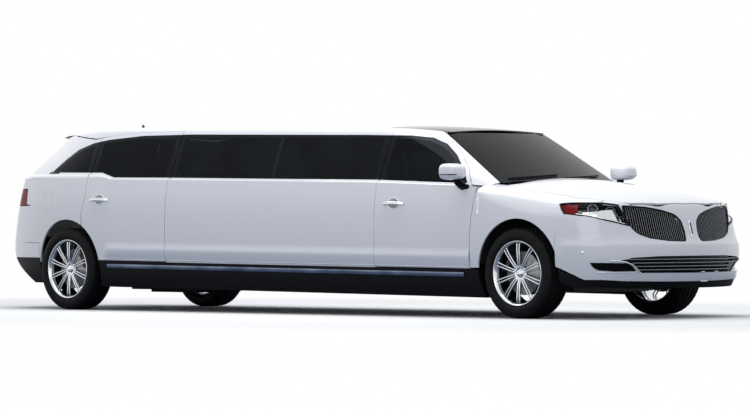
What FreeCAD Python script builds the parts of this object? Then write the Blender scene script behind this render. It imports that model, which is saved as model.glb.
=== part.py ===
"""A stretch limousine built on a crossover wagon, as separate panels, doors, glass, wheels and running gear.

Frame: +X forward, +Y to the vehicle's left, +Z up. The origin is on the ground under the middle of the body.
Units are millimetres. Every curve is an arc or a straight line, or a loft through a few outlines made of them.
"""
import FreeCAD
import Part
import math
import os

Vector = FreeCAD.Vector
UP = Vector(0, 0, 1)
LEFT = Vector(0, 1, 0)
FORWARD = Vector(1, 0, 0)

# Driving dimensions -------------------------------------------------------------------------------

BODY_LENGTH = 7813.0
WHEELBASE = 5535.0
REAR_OVERHANG = 1191.5
REAR_AXLE_X = -BODY_LENGTH / 2 + REAR_OVERHANG
FRONT_AXLE_X = REAR_AXLE_X + WHEELBASE
NOSE_X = BODY_LENGTH / 2
TAIL_X = -BODY_LENGTH / 2
HALF_WIDTH = 963.0
RAKE_PER_METRE = 10.0           # the body lines rise this much for each metre towards the tail
WIDEST_Z = 560.0                # the nose and the tail reach furthest at this height

TRACK = 1652.0
TYRE_RADIUS = 368.5
TYRE_WIDTH = 255.0
RIM_BEAD_RADIUS = 254.0
RIM_FLANGE_RADIUS = 271.0
RIM_WIDTH = 228.0
SPOKE_PAIRS = 10
BRAKE_DISC_RADIUS = 176.0
STUB_RADIUS = 32.0
KINGPIN_Y = 745.0
RUNNING_CLEARANCE = 0.3

PANEL_GAP = 7.0
HINGE_SIDE_GAP = 9.0            # shut gap at the hinged edge of a door
DOOR_LIP = 8.0                  # thickness of a door's skin at its hinged edge
DOOR_SETBACK = 24.0             # the door's case stands this far behind that edge
FRAME_GAP = 12.0                # shut gap round the window frames, which lean in
ROOF_GAP = 10.0                 # between the window frames and the roof
DOOR_WALL = 85.0
SIDE_WALL = 60.0
SHEET_WALL = 12.0
FENDER_WALL = 6.0
FRAME_WALL = 34.0
GLASS_WALL = 6.0
GLASS_INSET = 5.0

FRONT_ARCH_RADIUS = 436.0
REAR_ARCH_RADIUS = 438.0
ARCH_RISE = 10.0                # arch centres stand this far above the axles

FRONT_DOOR_REAR_X = 1214.0
FRONT_DOOR_FRONT_X = 2352.0
REAR_DOOR_FRONT_X = -1391.0
REAR_DOOR_REAR_X = -2460.0

FAR = 6000.0                    # larger than the vehicle, for cutting shapes
MIDPLANE = 0.0


# Shape helpers ------------------------------------------------------------------------------------

def face_of(edges):
    return Part.Face(Part.Wire(edges))


def polygon(points):
    """Closed wire through the points, in order."""
    return Part.makePolygon(list(points) + [points[0]])


def side_prism(points, low_y, high_y):
    """Side-view outline (x, z), swept from one y to another."""
    wire = polygon([Vector(x, low_y, z) for x, z in points])
    return Part.Face(wire).extrude(Vector(0, high_y - low_y, 0))


def front_prism(points, low_x, high_x):
    """Front-view outline (y, z), swept from one x to another."""
    wire = polygon([Vector(low_x, y, z) for y, z in points])
    return Part.Face(wire).extrude(Vector(high_x - low_x, 0, 0))


def plan_prism(points, low_z, high_z):
    """Outline seen from above (x, y), swept from one height to another."""
    wire = polygon([Vector(x, y, low_z) for x, y in points])
    return Part.Face(wire).extrude(Vector(0, 0, high_z - low_z))


def box(low, high):
    size = [h - l for l, h in zip(low, high)]
    return Part.makeBox(size[0], size[1], size[2], Vector(*low))


def cylinder(centre, axis, radius, length):
    """Cylinder whose middle is at the centre."""
    start = Vector(*centre) - axis * (length / 2)
    return Part.makeCylinder(radius, length, start, axis)


def rod(start, end, radius):
    start, end = Vector(*start), Vector(*end)
    return Part.makeCylinder(radius, (end - start).Length, start, end - start)


def mirrored(shape):
    """The same shape on the other side of the vehicle."""
    return shape.mirror(Vector(0, 0, 0), LEFT)


def both_sides(shape):
    return Part.makeCompound([shape, mirrored(shape)])


def fused(shapes):
    return shapes[0].multiFuse(shapes[1:]).removeSplitter()


def largest(shape):
    return max(shape.Solids, key=lambda solid: solid.Volume)


def raised(x, z):
    """Height of a body line that is at z over the origin, at x."""
    return z - x * RAKE_PER_METRE / 1000


# Body surfaces ------------------------------------------------------------------------------------
# Each level is an outline seen from above: a straight side, a taper arc, a corner arc and a bow across
# the centre line, at the nose (or windscreen) and at the tail. All arcs meet tangent.
# Columns: height, half width, then for each end: end x, bow radius, corner radius, taper start x, taper radius.

LOWER_LEVELS = [
    (180, 893, NOSE_X - 135, 1790, 400, 2750, 5500, TAIL_X + 400, 2200, 300, -2600, 2600),
    (300, 930, NOSE_X - 45, 1790, 400, 2750, 5500, TAIL_X + 185, 2200, 300, -2600, 2600),
    (430, 948, NOSE_X - 10, 1790, 400, 2750, 5500, TAIL_X + 10, 2200, 300, -2600, 2600),
    (560, HALF_WIDTH - 5, NOSE_X, 1790, 400, 2750, 5500, TAIL_X, 2200, 300, -2600, 2600),
    (760, HALF_WIDTH, NOSE_X - 50, 1790, 400, 2750, 5500, TAIL_X + 60, 2200, 300, -2600, 2600),
    (960, HALF_WIDTH - 10, NOSE_X - 112, 1790, 400, 2700, 5200, TAIL_X + 120, 2200, 300, -2600, 2600),
    (1170, HALF_WIDTH - 42, NOSE_X - 235, 1790, 400, 2600, 5000, TAIL_X + 180, 2200, 300, -2600, 2600),
]
CABIN_LEVELS = [
    (1000, 930, 2807, 1900, 90, 2020, 1600, -3850, 2200, 260, -2550, 2150),
    (1150, 889, 2528, 1900, 85, 1790, 1650, -3757, 2200, 260, -2470, 1900),
    (1320, 830, 2215, 1900, 75, 1480, 1700, -3615, 2200, 260, -2360, 1650),
    (1500, 757, 1885, 1900, 65, 1150, 1700, -3500, 2200, 250, -2360, 1600),
    (1680, 672, 1540, 1900, 60, 800, 1700, -3390, 2200, 240, -2250, 1500),
]


def end_arcs(side, level_z, half_width, end_x, bow, corner, taper_x, taper):
    """Points of one end of an outline on the left side, from the straight side round to the centre line."""
    taper_centre = Vector(taper_x, half_width - taper, level_z)
    bow_centre = Vector(end_x - side * bow, 0, level_z)
    between = bow_centre - taper_centre
    gap = between.Length
    to_corner = taper - corner
    along = (to_corner ** 2 - (bow - corner) ** 2 + gap ** 2) / (2 * gap)
    across = math.sqrt(to_corner ** 2 - along ** 2)
    ahead = between / gap
    sideways = Vector(side * abs(ahead.y), abs(ahead.x), 0)
    if ahead.y * ahead.x * side > 0:
        sideways = Vector(-side * abs(ahead.y), abs(ahead.x), 0)
    corner_centre = taper_centre + ahead * along + sideways * across
    taper_end = taper_centre + (corner_centre - taper_centre).normalize() * taper
    corner_end = bow_centre + (corner_centre - bow_centre).normalize() * bow
    taper_start = Vector(taper_x, half_width, level_z)
    taper_mid = taper_centre + ((taper_start + taper_end) / 2 - taper_centre).normalize() * taper
    corner_mid = corner_centre + ((taper_end + corner_end) / 2 - corner_centre).normalize() * corner
    tip = Vector(end_x, 0, level_z)
    return taper_start, taper_mid, taper_end, corner_mid, corner_end, tip


def across_centre(point):
    return Vector(point.x, -point.y, point.z)


def outline(level, inset):
    """Closed wire of one level, moved in by the inset all round."""
    z, half_width = level[0], level[1] - inset
    nose = [level[2] - inset, level[3] - inset, level[4] - inset, level[5], level[6] - inset]
    tail = [level[7] + inset, level[8] - inset, level[9] - inset, level[10], level[11] - inset]
    f_start, f_mid, f_end, f_corner, f_last, f_tip = end_arcs(1, z, half_width, *nose)
    r_start, r_mid, r_end, r_corner, r_last, r_tip = end_arcs(-1, z, half_width, *tail)
    right = across_centre
    edges = [
        Part.Arc(right(f_last), f_tip, f_last).toShape(),
        Part.Arc(f_last, f_corner, f_end).toShape(),
        Part.Arc(f_end, f_mid, f_start).toShape(),
        Part.LineSegment(f_start, r_start).toShape(),
        Part.Arc(r_start, r_mid, r_end).toShape(),
        Part.Arc(r_end, r_corner, r_last).toShape(),
        Part.Arc(r_last, r_tip, right(r_last)).toShape(),
        Part.Arc(right(r_last), right(r_corner), right(r_end)).toShape(),
        Part.Arc(right(r_end), right(r_mid), right(r_start)).toShape(),
        Part.LineSegment(right(r_start), right(f_start)).toShape(),
        Part.Arc(right(f_start), right(f_mid), right(f_end)).toShape(),
        Part.Arc(right(f_end), right(f_corner), right(f_last)).toShape(),
    ]
    return Part.Wire(edges)


def lofted(levels, inset):
    """Smooth solid through the outlines, leaning with the rake."""
    solid = Part.makeLoft([outline(level, inset) for level in levels], True, False)
    lean = math.degrees(math.atan(RAKE_PER_METRE / 1000))
    solid.rotate(Vector(0, 0, WIDEST_Z), LEFT, lean)
    return solid


# Crowned tops, as cross sections at stations along the vehicle.
# Columns: x, height on the centre line, crown radius, half width of the crown, shoulder radius.
BONNET_STATIONS = [
    (2250, 1172, 4200, 870, 110), (2600, 1143, 4200, 840, 140), (3000, 1100, 4200, 790, 190),
    (3400, 1046, 4200, 740, 240), (3650, 992, 4000, 680, 300), (3800, 925, 3800, 640, 340),
    (3960, 800, 3600, 600, 380),
]
ROOF_STATIONS = [(x, z, 8000, 690, 60) for x, z in (
    (-3900, 1520), (-3400, 1590), (-2700, 1640), (-1700, 1650), (-300, 1630), (700, 1610), (1350, 1590),
    (1700, 1560), (2200, 1490), (2900, 1370))]
SHOULDER_END = math.asin(0.92)
FLARE_Y = 1150.0


def crown_wire(x, z, radius, half_width, shoulder):
    """Cross section with a crowned top and rounded shoulders, standing on the ground."""
    start = math.asin(half_width / radius)
    end = SHOULDER_END
    edge_z = z - radius * (1 - math.cos(start))
    middle = (start + end) / 2

    def on_shoulder(angle):
        return Vector(x, half_width + shoulder * (math.sin(angle) - math.sin(start)),
                      edge_z - shoulder * (math.cos(start) - math.cos(angle)))

    top, inner, outer = Vector(x, 0, z), on_shoulder(start), on_shoulder(end)
    flare = Vector(x, FLARE_Y, outer.z - (FLARE_Y - outer.y) * math.tan(end))
    foot = Vector(x, FLARE_Y, 0)
    right = across_centre
    return Part.Wire([
        Part.Arc(right(inner), top, inner).toShape(),
        Part.Arc(inner, on_shoulder(middle), outer).toShape(),
        Part.LineSegment(outer, flare).toShape(),
        Part.LineSegment(flare, foot).toShape(),
        Part.LineSegment(foot, right(foot)).toShape(),
        Part.LineSegment(right(foot), right(flare)).toShape(),
        Part.LineSegment(right(flare), right(outer)).toShape(),
        Part.Arc(right(outer), right(on_shoulder(middle)), right(inner)).toShape(),
    ])


def crowned(stations, inset):
    return Part.makeLoft([crown_wire(x, z - inset, *crown) for x, z, *crown in stations], True, False)


def fore_body(inset):
    """Solid form of the body ahead of the doors."""
    ahead = box((2200, -FAR, -500), (FAR, FAR, 2000))
    return lofted(LOWER_LEVELS, inset).common(crowned(BONNET_STATIONS, inset)).common(ahead)


def main_body(inset):
    """Solid form of the body below the windows."""
    behind = box((-FAR, -FAR, -500), (2600, FAR, 2000))
    return lofted(LOWER_LEVELS, inset).common(behind)


def cabin(inset):
    """Solid form of the windows and the roof."""
    roof = crowned(ROOF_STATIONS, inset)
    return lofted(CABIN_LEVELS, inset).common(roof)


def shell_of(form, wall):
    """The form without the same form moved in by the wall."""
    return form(0).cut(form(wall))


# Lines seen from the side (x, z), from the tail forwards ---------------------------------------------

BELT_LINE = [(-2950, 1222), (-2310, 1214), (-2140, 1170), (-1450, 1162), (1180, 1120), (2200, 1083)]
WINDOW_TOP = [
    (-3105, 1233), (-2927, 1362), (-2773, 1447), (-2553, 1504), (-2337, 1532), (-1908, 1560), (-1279, 1562),
    (867, 1524), (1422, 1510), (1640, 1490), (1800, 1436), (1955, 1340), (2110, 1205), (2200, 1093),
]
FRAME_WIDTH = 22.0              # window frame above the glass
SILL_Z = 428.0
ROCKER_BOTTOM_Z = 190.0
FRONT_DOOR_EDGE = [(2298, 380), (2304, 649), (2323, 825), (2351, 1000), (FRONT_DOOR_FRONT_X, 1150)]
REAR_DOOR_FRONT_LINE = [(REAR_DOOR_FRONT_X, 0), (REAR_DOOR_FRONT_X, 2000)]
REAR_DOOR_EDGE = [(-2502, 380), (-2502, 846), (-2488, 908), (REAR_DOOR_REAR_X, 1015), (-2452, 1250)]


def height_on(line, x):
    """Height of a side-view line at x."""
    for (x0, z0), (x1, z1) in zip(line, line[1:]):
        if x0 <= x <= x1:
            return z0 + (z1 - z0) * (x - x0) / (x1 - x0)
    return line[0][1] if x < line[0][0] else line[-1][1]


def stretch_of(line, low_x, high_x):
    """The part of a side-view line between two x."""
    inside = [point for point in line if low_x < point[0] < high_x]
    return [(low_x, height_on(line, low_x))] + inside + [(high_x, height_on(line, high_x))]


def lifted(line, rise):
    return [(x, z + rise) for x, z in line]


def frame_line():
    """Outer edge of the window frames: the glass line moved out by the frame's width."""
    moved = []
    for before, point, after in zip(WINDOW_TOP[:1] + WINDOW_TOP, WINDOW_TOP, WINDOW_TOP[1:] + WINDOW_TOP[-1:]):
        run = Vector(after[0] - before[0], 0, after[1] - before[1]).normalize()
        moved.append((point[0] - run.z * FRAME_WIDTH, point[1] + run.x * FRAME_WIDTH))
    return moved


FRAME_TOP = frame_line()


def between_lines(low_line, high_line, low_x, high_x):
    """Side-view outline between two lines, from one x to another."""
    return stretch_of(low_line, low_x, high_x) + stretch_of(high_line, low_x, high_x)[::-1]


def glass_outline(low_x, high_x, grow):
    """Window opening between the belt line and the window top, grown all round."""
    low = lifted(BELT_LINE, -grow)
    high = lifted(WINDOW_TOP, grow)
    return between_lines(low, high, low_x - grow, high_x + grow)


SILL_LINE = [(x, raised(x, SILL_Z)) for x in (-FAR, FAR)]
ROCKER_LINE = [(x, raised(x, ROCKER_BOTTOM_Z)) for x in (-FAR, FAR)]

# Glass panes. Columns: name, rear x, front x.
PANES = {
    "quarter": (-3060.0, REAR_DOOR_REAR_X - 55),
    "rear_door": (REAR_DOOR_REAR_X + 62, REAR_DOOR_FRONT_X - 58),
    "stretch_rear": (REAR_DOOR_FRONT_X + 62, -110.0),
    "stretch_front": (-70.0, FRONT_DOOR_REAR_X - 62),
    "front_door": (FRONT_DOOR_REAR_X + 62, 2190.0),
}

PANE_INNER_Y = 500.0
FRAME_INNER_Y = 640.0
nodes = {}


def keep(name, shape):
    nodes[name] = shape


def right_slab(outline_points, inner_y=250.0):
    """Side-view outline swept through the right side of the body."""
    return side_prism(outline_points, -1300, -inner_y)


def arch_cut(axle_x, radius):
    return cylinder((axle_x, 0, TYRE_RADIUS + ARCH_RISE), LEFT, radius, 2600)


FRONT_ARCH = arch_cut(FRONT_AXLE_X + 8, FRONT_ARCH_RADIUS)
REAR_ARCH = arch_cut(REAR_AXLE_X + 2, REAR_ARCH_RADIUS)

LOWER_DOOR_SHELL = shell_of(main_body, DOOR_WALL)
LOWER_SIDE_SHELL = shell_of(main_body, SIDE_WALL)
FORE_SHELL = shell_of(fore_body, SHEET_WALL)
FENDER_SHELL = shell_of(fore_body, FENDER_WALL)
CABIN_FORM = cabin(0)
FRAME_SHELL = CABIN_FORM.cut(cabin(FRAME_WALL))
GLASS_SHELL = cabin(GLASS_INSET).cut(cabin(GLASS_INSET + GLASS_WALL))


def window_opening(name):
    low_x, high_x = PANES[name]
    return right_slab(glass_outline(low_x, high_x, 0), PANE_INNER_Y)


def pane(name):
    """Glass set in its opening with the running clearance round it."""
    low_x, high_x = PANES[name]
    return GLASS_SHELL.common(right_slab(glass_outline(low_x, high_x, -RUNNING_CLEARANCE), PANE_INNER_Y))


# Doors --------------------------------------------------------------------------------------------

def door(lower_outline, upper_outline, pane_name, hinge_edge):
    """Lower door case and window frame, as one piece with its window cut."""
    case = LOWER_DOOR_SHELL.common(right_slab(lower_outline))
    step = [(x - DOOR_SETBACK, z) for x, z in hinge_edge] + [(x + 60, z) for x, z in hinge_edge[::-1]]
    case = case.cut(main_body(DOOR_LIP).common(right_slab(step)))
    frame = FRAME_SHELL.common(right_slab(upper_outline, FRAME_INNER_Y))
    return case.fuse(frame).cut(window_opening(pane_name))


BELT_LAP = 45.0                  # the frame reaches this far down into the door


def front_door():
    rear_x = FRONT_DOOR_REAR_X
    low = stretch_of(SILL_LINE, rear_x, 2298)
    lower = low + FRONT_DOOR_EDGE[1:-1] + [(FRONT_DOOR_FRONT_X, 1074)] + stretch_of(BELT_LINE, rear_x, 2195)[::-1]
    upper = stretch_of(lifted(BELT_LINE, -BELT_LAP), rear_x, 2195) + [(2232, 1070)] \
        + stretch_of(FRAME_TOP, rear_x, 2225)[::-1]
    return door(lower, upper, "front_door", FRONT_DOOR_EDGE)


def rear_door():
    front_x = REAR_DOOR_FRONT_X
    lower = [(-2502, 440)] + REAR_DOOR_EDGE[1:-1] + stretch_of(BELT_LINE, -2453, front_x) \
        + [(front_x, raised(front_x, SILL_Z)), (-2300, raised(-2300, SILL_Z))]
    upper = between_lines(lifted(BELT_LINE, -BELT_LAP), FRAME_TOP, -2452, front_x)
    return door(lower, upper, "rear_door", REAR_DOOR_FRONT_LINE).cut(REAR_ARCH)


# Fixed sides --------------------------------------------------------------------------------------

def stretch_panel():
    """Added length between the doors, from the sill to the window frame."""
    low_x, high_x = REAR_DOOR_FRONT_X + HINGE_SIDE_GAP, FRONT_DOOR_REAR_X - PANEL_GAP
    foot = lifted(SILL_LINE, RUNNING_CLEARANCE - PANEL_GAP)
    lower = between_lines(foot, BELT_LINE, low_x, high_x)
    high_gap = FRAME_GAP - PANEL_GAP
    top = lifted(FRAME_TOP, ROOF_GAP - RUNNING_CLEARANCE)
    upper = between_lines(lifted(BELT_LINE, -BELT_LAP), top, low_x + high_gap, high_x - high_gap)
    case = LOWER_SIDE_SHELL.common(right_slab(lower))
    frame = FRAME_SHELL.common(right_slab(upper))
    return case.fuse(frame).cut(window_opening("stretch_rear")).cut(window_opening("stretch_front"))


ROOF_REAR_EDGE = [(-3050, 1590), (-2545, 1544)]   # lower edge of the roof skin behind the rear doors
GATE_HALF_WIDTH = 690.0
GATE_FRONT_X = -3055.0
BUMPER_TOP_Z = 600.0


def gate_front_view(grow):
    """Rear opening seen along the vehicle (y, z)."""
    half = [(0, 1900), (500 + grow, 1900), (540 + grow, 1500), (GATE_HALF_WIDTH + grow, 1130),
            (GATE_HALF_WIDTH + 10 + grow, 660 - grow), (0, 660 - grow)]
    return half + [(-y, z) for y, z in half[-2:0:-1]]


# Front edge of the liftgate, seen from the side.
GATE_EDGE = [(GATE_FRONT_X, 1900), (GATE_FRONT_X, 1572), (-3130, 1520), (-3420, 1195), (-3480, 1130), (-3560, 640),
             (-3560, 0)]


def gate_region(grow):
    """Space of the liftgate: behind the roof and its edge, and between the rear quarters."""
    behind = side_prism([(x + 2.2 * grow, z) for x, z in GATE_EDGE] + [(-4300, 0), (-4300, 1900)], -1300, 1300)
    return front_prism(gate_front_view(grow), -4200, GATE_FRONT_X + grow).common(behind)


def quarter_panel():
    """Side behind the rear door, with its wheel arch, corner pillar and window."""
    edge_x = REAR_DOOR_REAR_X - PANEL_GAP
    lower = [(-2502 - PANEL_GAP, 846), (-2488 - PANEL_GAP, 908), (edge_x, 1015), (edge_x, 1225), (-4300, 1225),
             (-4300, BUMPER_TOP_Z + 40), (-3150, BUMPER_TOP_Z + 30), (-3150, 420), (-2502 - PANEL_GAP, 420)]
    upper = stretch_of(lifted(BELT_LINE, -BELT_LAP), -2950, edge_x - 3) \
        + stretch_of(FRAME_TOP, -2950, edge_x - 3)[::-1]
    roof_edge = lifted(ROOF_REAR_EDGE, -RUNNING_CLEARANCE)
    pillar = [(-2950, 1170), (-4300, 1170), (-4300, roof_edge[0][1])] + roof_edge + [(-2950, 1380)]
    case = LOWER_SIDE_SHELL.common(right_slab(lower))
    frame = FRAME_SHELL.common(right_slab(upper).fuse(right_slab(pillar)))
    panel = case.fuse(frame).cut(window_opening("quarter")).cut(gate_region(PANEL_GAP))
    return panel.cut(REAR_ARCH).cut(tail_lamp_space(RUNNING_CLEARANCE))


# Fuel door, on the right quarter. Columns: low x, high x, low z, high z.
FUEL_DOOR = (-3080.0, -2920.0, 905.0, 1065.0)


def fuel_outline(grow):
    low_x, high_x, low_z, high_z = FUEL_DOOR
    cut = 34.0 + grow / 2
    low_x, high_x, low_z, high_z = low_x - grow, high_x + grow, low_z - grow, high_z + grow
    return [(low_x + cut, low_z), (high_x - cut, low_z), (high_x, low_z + cut), (high_x, high_z - cut),
            (high_x - cut, high_z), (low_x + cut, high_z), (low_x, high_z - cut), (low_x, low_z + cut)]


FUEL_DOOR_WALL = 5.0
FUEL_DOOR_GAP = 5.5
FUEL_POCKET_DEPTH = 45.0


def fuel_pocket():
    """Recess for the fuel door: a ledge that it closes on, and the filler's hollow behind it."""
    ledge = shell_of(main_body, FUEL_DOOR_WALL + RUNNING_CLEARANCE).common(right_slab(fuel_outline(FUEL_DOOR_GAP)))
    hollow = shell_of(main_body, FUEL_POCKET_DEPTH).common(right_slab(fuel_outline(-12)))
    return ledge.fuse(hollow)


def rocker_panel():
    """Dark cladding under the doors, between the wheel arches."""
    low_x, high_x = REAR_AXLE_X + 380, FRONT_AXLE_X - 380
    band = between_lines(ROCKER_LINE, lifted(SILL_LINE, -PANEL_GAP), low_x, high_x)
    inner = FLOOR_HALF_WIDTH + RUNNING_CLEARANCE
    sill = lofted(LOWER_LEVELS, 0).common(side_prism(band, -1300, -inner))
    return sill.cut(FRONT_ARCH).cut(REAR_ARCH)


# Front end ----------------------------------------------------------------------------------------

BONNET_EDGE = [(2380, 770), (2900, 800), (3350, 790), (3600, 690), (3705, 560)]    # x, half width
BUMPER_LINE_Z = 842.0
FENDER_FRONT_X = 3235.0


def bonnet_plan(grow):
    """The bonnet seen from above (x, y), with its rear edge bowed forwards of the windscreen."""
    half = [(x + (grow if x > 3500 else 0), y + grow) for x, y in BONNET_EDGE]
    tip = [(3775 + grow, 300), (3790 + grow, 0)]
    rear = [(2535 - grow, 735 + grow), (2580 - grow, 640), (2596 - grow, 400), (2602 - grow, 0)]
    left = rear[::-1] + half[1:] + tip
    return left + [(x, -y) for x, y in left[-2:0:-1]]


def bonnet():
    slab = plan_prism(bonnet_plan(0), 880, 1300)
    skin = largest(FORE_SHELL.common(slab))
    return fused([skin] + bonnet_arms())


BONNET_HINGE_X = 2484.0
BONNET_HINGE_Z = 1048.0
BONNET_HINGE_Y = 630.0
BONNET_PIN_RADIUS = 5.0
BONNET_ARM_WIDTH = 16.0


def bonnet_arms():
    """Hinge arms that run from the pins up to the underside of the bonnet."""
    x, z, half = BONNET_HINGE_X, BONNET_HINGE_Z, BONNET_ARM_WIDTH / 2
    arms = []
    for side in (-1, 1):
        y = side * BONNET_HINGE_Y
        eye = cylinder((x, y, z), LEFT, 2 * BONNET_PIN_RADIUS, 2 * half)
        arm = side_prism([(x, z - 9), (x + 140, z + 22), (x + 140, z + 44), (x + 105, z + 44), (x, z + 9)],
                         y - half, y + half)
        bore = cylinder((x, y, z), LEFT, BONNET_PIN_RADIUS + RUNNING_CLEARANCE, 60)
        arms.append(eye.fuse(arm).cut(bore))
    return arms


def bonnet_brackets(wall_x):
    """Plates on the bulkhead that hold the bonnet's hinge pins."""
    x, z, half = BONNET_HINGE_X, BONNET_HINGE_Z, BONNET_ARM_WIDTH / 2 + 2
    plates = []
    for side in (-1, 1):
        y = side * BONNET_HINGE_Y
        plates.append(cylinder((x, y, z), LEFT, BONNET_PIN_RADIUS, 2 * half + 12))
        for edge in (-half - 6, half):
            plates.append(box((wall_x - 2, y + edge, z - 40), (x + 8, y + edge + 6, z + 8)))
    return plates


def front_fender():
    """Wing over the front wheel, from the door to the headlamp."""
    gap = PANEL_GAP
    rear = [(x + HINGE_SIDE_GAP, z) for x, z in FRONT_DOOR_EDGE]
    side = [(2298 + HINGE_SIDE_GAP, raised(2298, SILL_Z))] + rear[1:] + [(2367, 1300), (3560, 1300), (3560, 935),
            (FENDER_FRONT_X - gap, 935), (FENDER_FRONT_X - gap, 420)]
    wing = FENDER_SHELL.common(right_slab(side)).cut(plan_prism(bonnet_plan(gap), 850, 1400))
    cowl_space = box((2300, -735 - gap, 900), (2600, 0, 1400))
    lamp = front_slab(HEADLAMP_FRONT, 3, FENDER_FRONT_X - 33)
    return largest(wing.cut(FRONT_ARCH).cut(cowl_space).cut(lamp))


HEADLAMP_FRONT = [(-990, 928), (-990, 852), (-760, 800), (-600, 765), (-566, 800), (-600, 890), (-800, 925)]
GRILLE_FRONT = [(-590, 800), (-565, 880), (-430, 893), (-150, 872), (-75, 800), (-85, 690), (-140, 655), (-420, 660),
                (-540, 705)]
LOWER_GRILLE_FRONT = [(-640, 520), (640, 520), (590, 395), (-590, 395)]
FOG_FRONT = [(-850, 470), (-850, 540), (-700, 520), (-660, 450)]


def grown_outline(points, grow):
    """Outline moved out from its middle."""
    centre_a = sum(a for a, b in points) / len(points)
    centre_b = sum(b for a, b in points) / len(points)
    moved = []
    for a, b in points:
        reach = math.hypot(a - centre_a, b - centre_b)
        moved.append((a + (a - centre_a) / reach * grow, b + (b - centre_b) / reach * grow))
    return moved


def front_slab(points, grow=0.0, low_x=3100):
    return front_prism(grown_outline(points, grow), low_x, 4200)


NOSE_WALL = 55.0


def nose_shell(inset, wall):
    return lofted(LOWER_LEVELS, inset).cut(lofted(LOWER_LEVELS, inset + wall)).common(
        crowned(BONNET_STATIONS, inset))


def front_bumper():
    """Painted nose from wheel arch to wheel arch, with its grille and lamp openings."""
    side = [(FENDER_FRONT_X, 843), (FENDER_FRONT_X, 300), (3330, 250), (4300, 232), (4300, 1000), (3567, 1000),
            (3567, 928), (FENDER_FRONT_X, 928)]
    shell = nose_shell(0, NOSE_WALL).common(side_prism(side, -1300, 1300))
    shell = shell.cut(plan_prism(bonnet_plan(PANEL_GAP + 1), 850, 1400))
    openings = [front_slab(HEADLAMP_FRONT, RUNNING_CLEARANCE), front_slab(GRILLE_FRONT, RUNNING_CLEARANCE, 3500), front_slab(FOG_FRONT, 0, 3400)]
    for opening in openings:
        shell = shell.cut(opening).cut(mirrored(opening))
    shell = shell.cut(front_slab(LOWER_GRILLE_FRONT, 0, 3500))
    return largest(shell.cut(FRONT_ARCH))


GRILLE_BARS = 26
GRILLE_DEPTH = 45.0
BAR_WIDTH = 8.0
LOWER_BAR_PITCH = 28.0
LOWER_BAR_GAP = 17.0


def grille():
    """Two wings of upright bars and a wide lower grille of level bars."""
    face = nose_shell(6, GRILLE_DEPTH)
    low_y = min(y for y, z in GRILLE_FRONT)
    high_y = max(y for y, z in GRILLE_FRONT)
    pitch = (high_y - low_y) / GRILLE_BARS
    middles = [low_y + pitch * (bar + 0.5) for bar in range(1, GRILLE_BARS - 1)]
    half_slot = (pitch - BAR_WIDTH) / 2
    slots = [front_prism([(y - half_slot, 500), (y + half_slot, 500), (y + half_slot, 1000), (y - half_slot, 1000)],
                         3500, 4200) for y in middles]
    inner = front_slab(GRILLE_FRONT, -14, 3500)
    wing = face.common(front_slab(GRILLE_FRONT, 0, 3500)).cut(Part.makeCompound(slots).common(inner))
    wing = wing.cut(front_slab(HEADLAMP_FRONT, RUNNING_CLEARANCE, 3300)).cut(
        plan_prism(bonnet_plan(PANEL_GAP), 850, 1400))
    low_z = min(z for y, z in LOWER_GRILLE_FRONT)
    lower = face.common(front_slab(LOWER_GRILLE_FRONT, -RUNNING_CLEARANCE, 3500))
    rows = [low_z + 14 + row * LOWER_BAR_PITCH for row in range(4)]
    lower = lower.cut([box((3500, -575, z), (4200, 575, z + LOWER_BAR_GAP)) for z in rows])
    return Part.makeCompound(wing.Solids + mirrored(wing).Solids + lower.Solids)


def headlamp():
    return nose_shell(3, 70).common(front_slab(HEADLAMP_FRONT, 0, FENDER_FRONT_X - 30)).cut(
        plan_prism(bonnet_plan(PANEL_GAP + 1), 850, 1400))


# Rear end -----------------------------------------------------------------------------------------

TAIL_PIPE = ((-3420.0, -360.0, 400.0), (-3840.0, -360.0, 318.0))
TAIL_PIPE_RADIUS = 34.0
TAIL_LAMP_FRONT = [(-1000, 1100), (-1000, 955), (-714, 940), (-714, 1090)]


def rear_bumper():
    side = [(-3150 - PANEL_GAP, 560), (-3150 - PANEL_GAP, 300), (-3300, 236), (-4300, 236), (-4300, BUMPER_TOP_Z),
            (-3150 - PANEL_GAP, BUMPER_TOP_Z)]
    shell = LOWER_DOOR_SHELL.common(side_prism(side, -1300, 1300))
    notch = rod(TAIL_PIPE[0], TAIL_PIPE[1], TAIL_PIPE_RADIUS + 12)
    return largest(shell.cut(REAR_ARCH).cut(notch))


def tail_lamp_space(grow):
    return front_prism(grown_outline(TAIL_LAMP_FRONT, grow), -4200, -3400)


def tail_lamp():
    lamp = shell_of(main_body, 48).common(tail_lamp_space(0)).cut(gate_region(PANEL_GAP))
    return largest(lamp)


GATE_WALL = 60.0
GATE_GLASS_VIEW = [(-560, 1165), (560, 1165), (455, 1470), (-455, 1470)]


ROOF_REAR_GAP = 14.0
GATE_HINGE_X = GATE_FRONT_X + ROOF_REAR_GAP - 3.5
GATE_HINGE_Z = 1615.0
GATE_HINGE_Y = 250.0
GATE_PIN_RADIUS = 3.0
GATE_EYE_RADIUS = 7.0
GATE_EYE_WIDTH = 30.0


def gate_brackets():
    """Pins at the rear edge of the roof that the liftgate hangs on, each between two plates."""
    x, z, half = GATE_HINGE_X, GATE_HINGE_Z, GATE_EYE_WIDTH / 2
    parts = []
    for side in (-1, 1):
        y = side * GATE_HINGE_Y
        parts.append(cylinder((x, y, z), LEFT, GATE_PIN_RADIUS, 2 * half + 16))
        for edge in (-half - 8, half + 2):
            parts.append(cylinder((x, y + edge + 3, z), LEFT, GATE_EYE_RADIUS - 1, 6))
            parts.append(box((x, y + edge, z - 10), (x + 50, y + edge + 6, z - 2)))
    return parts


PLATE_CENTRE_Z = 850.0
PLATE_FACE_X = -3860.0
PLATE_HOLE_RADIUS = 3.2
PLATE_HOLE_SPACING = (178.0, 121.0)


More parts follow.
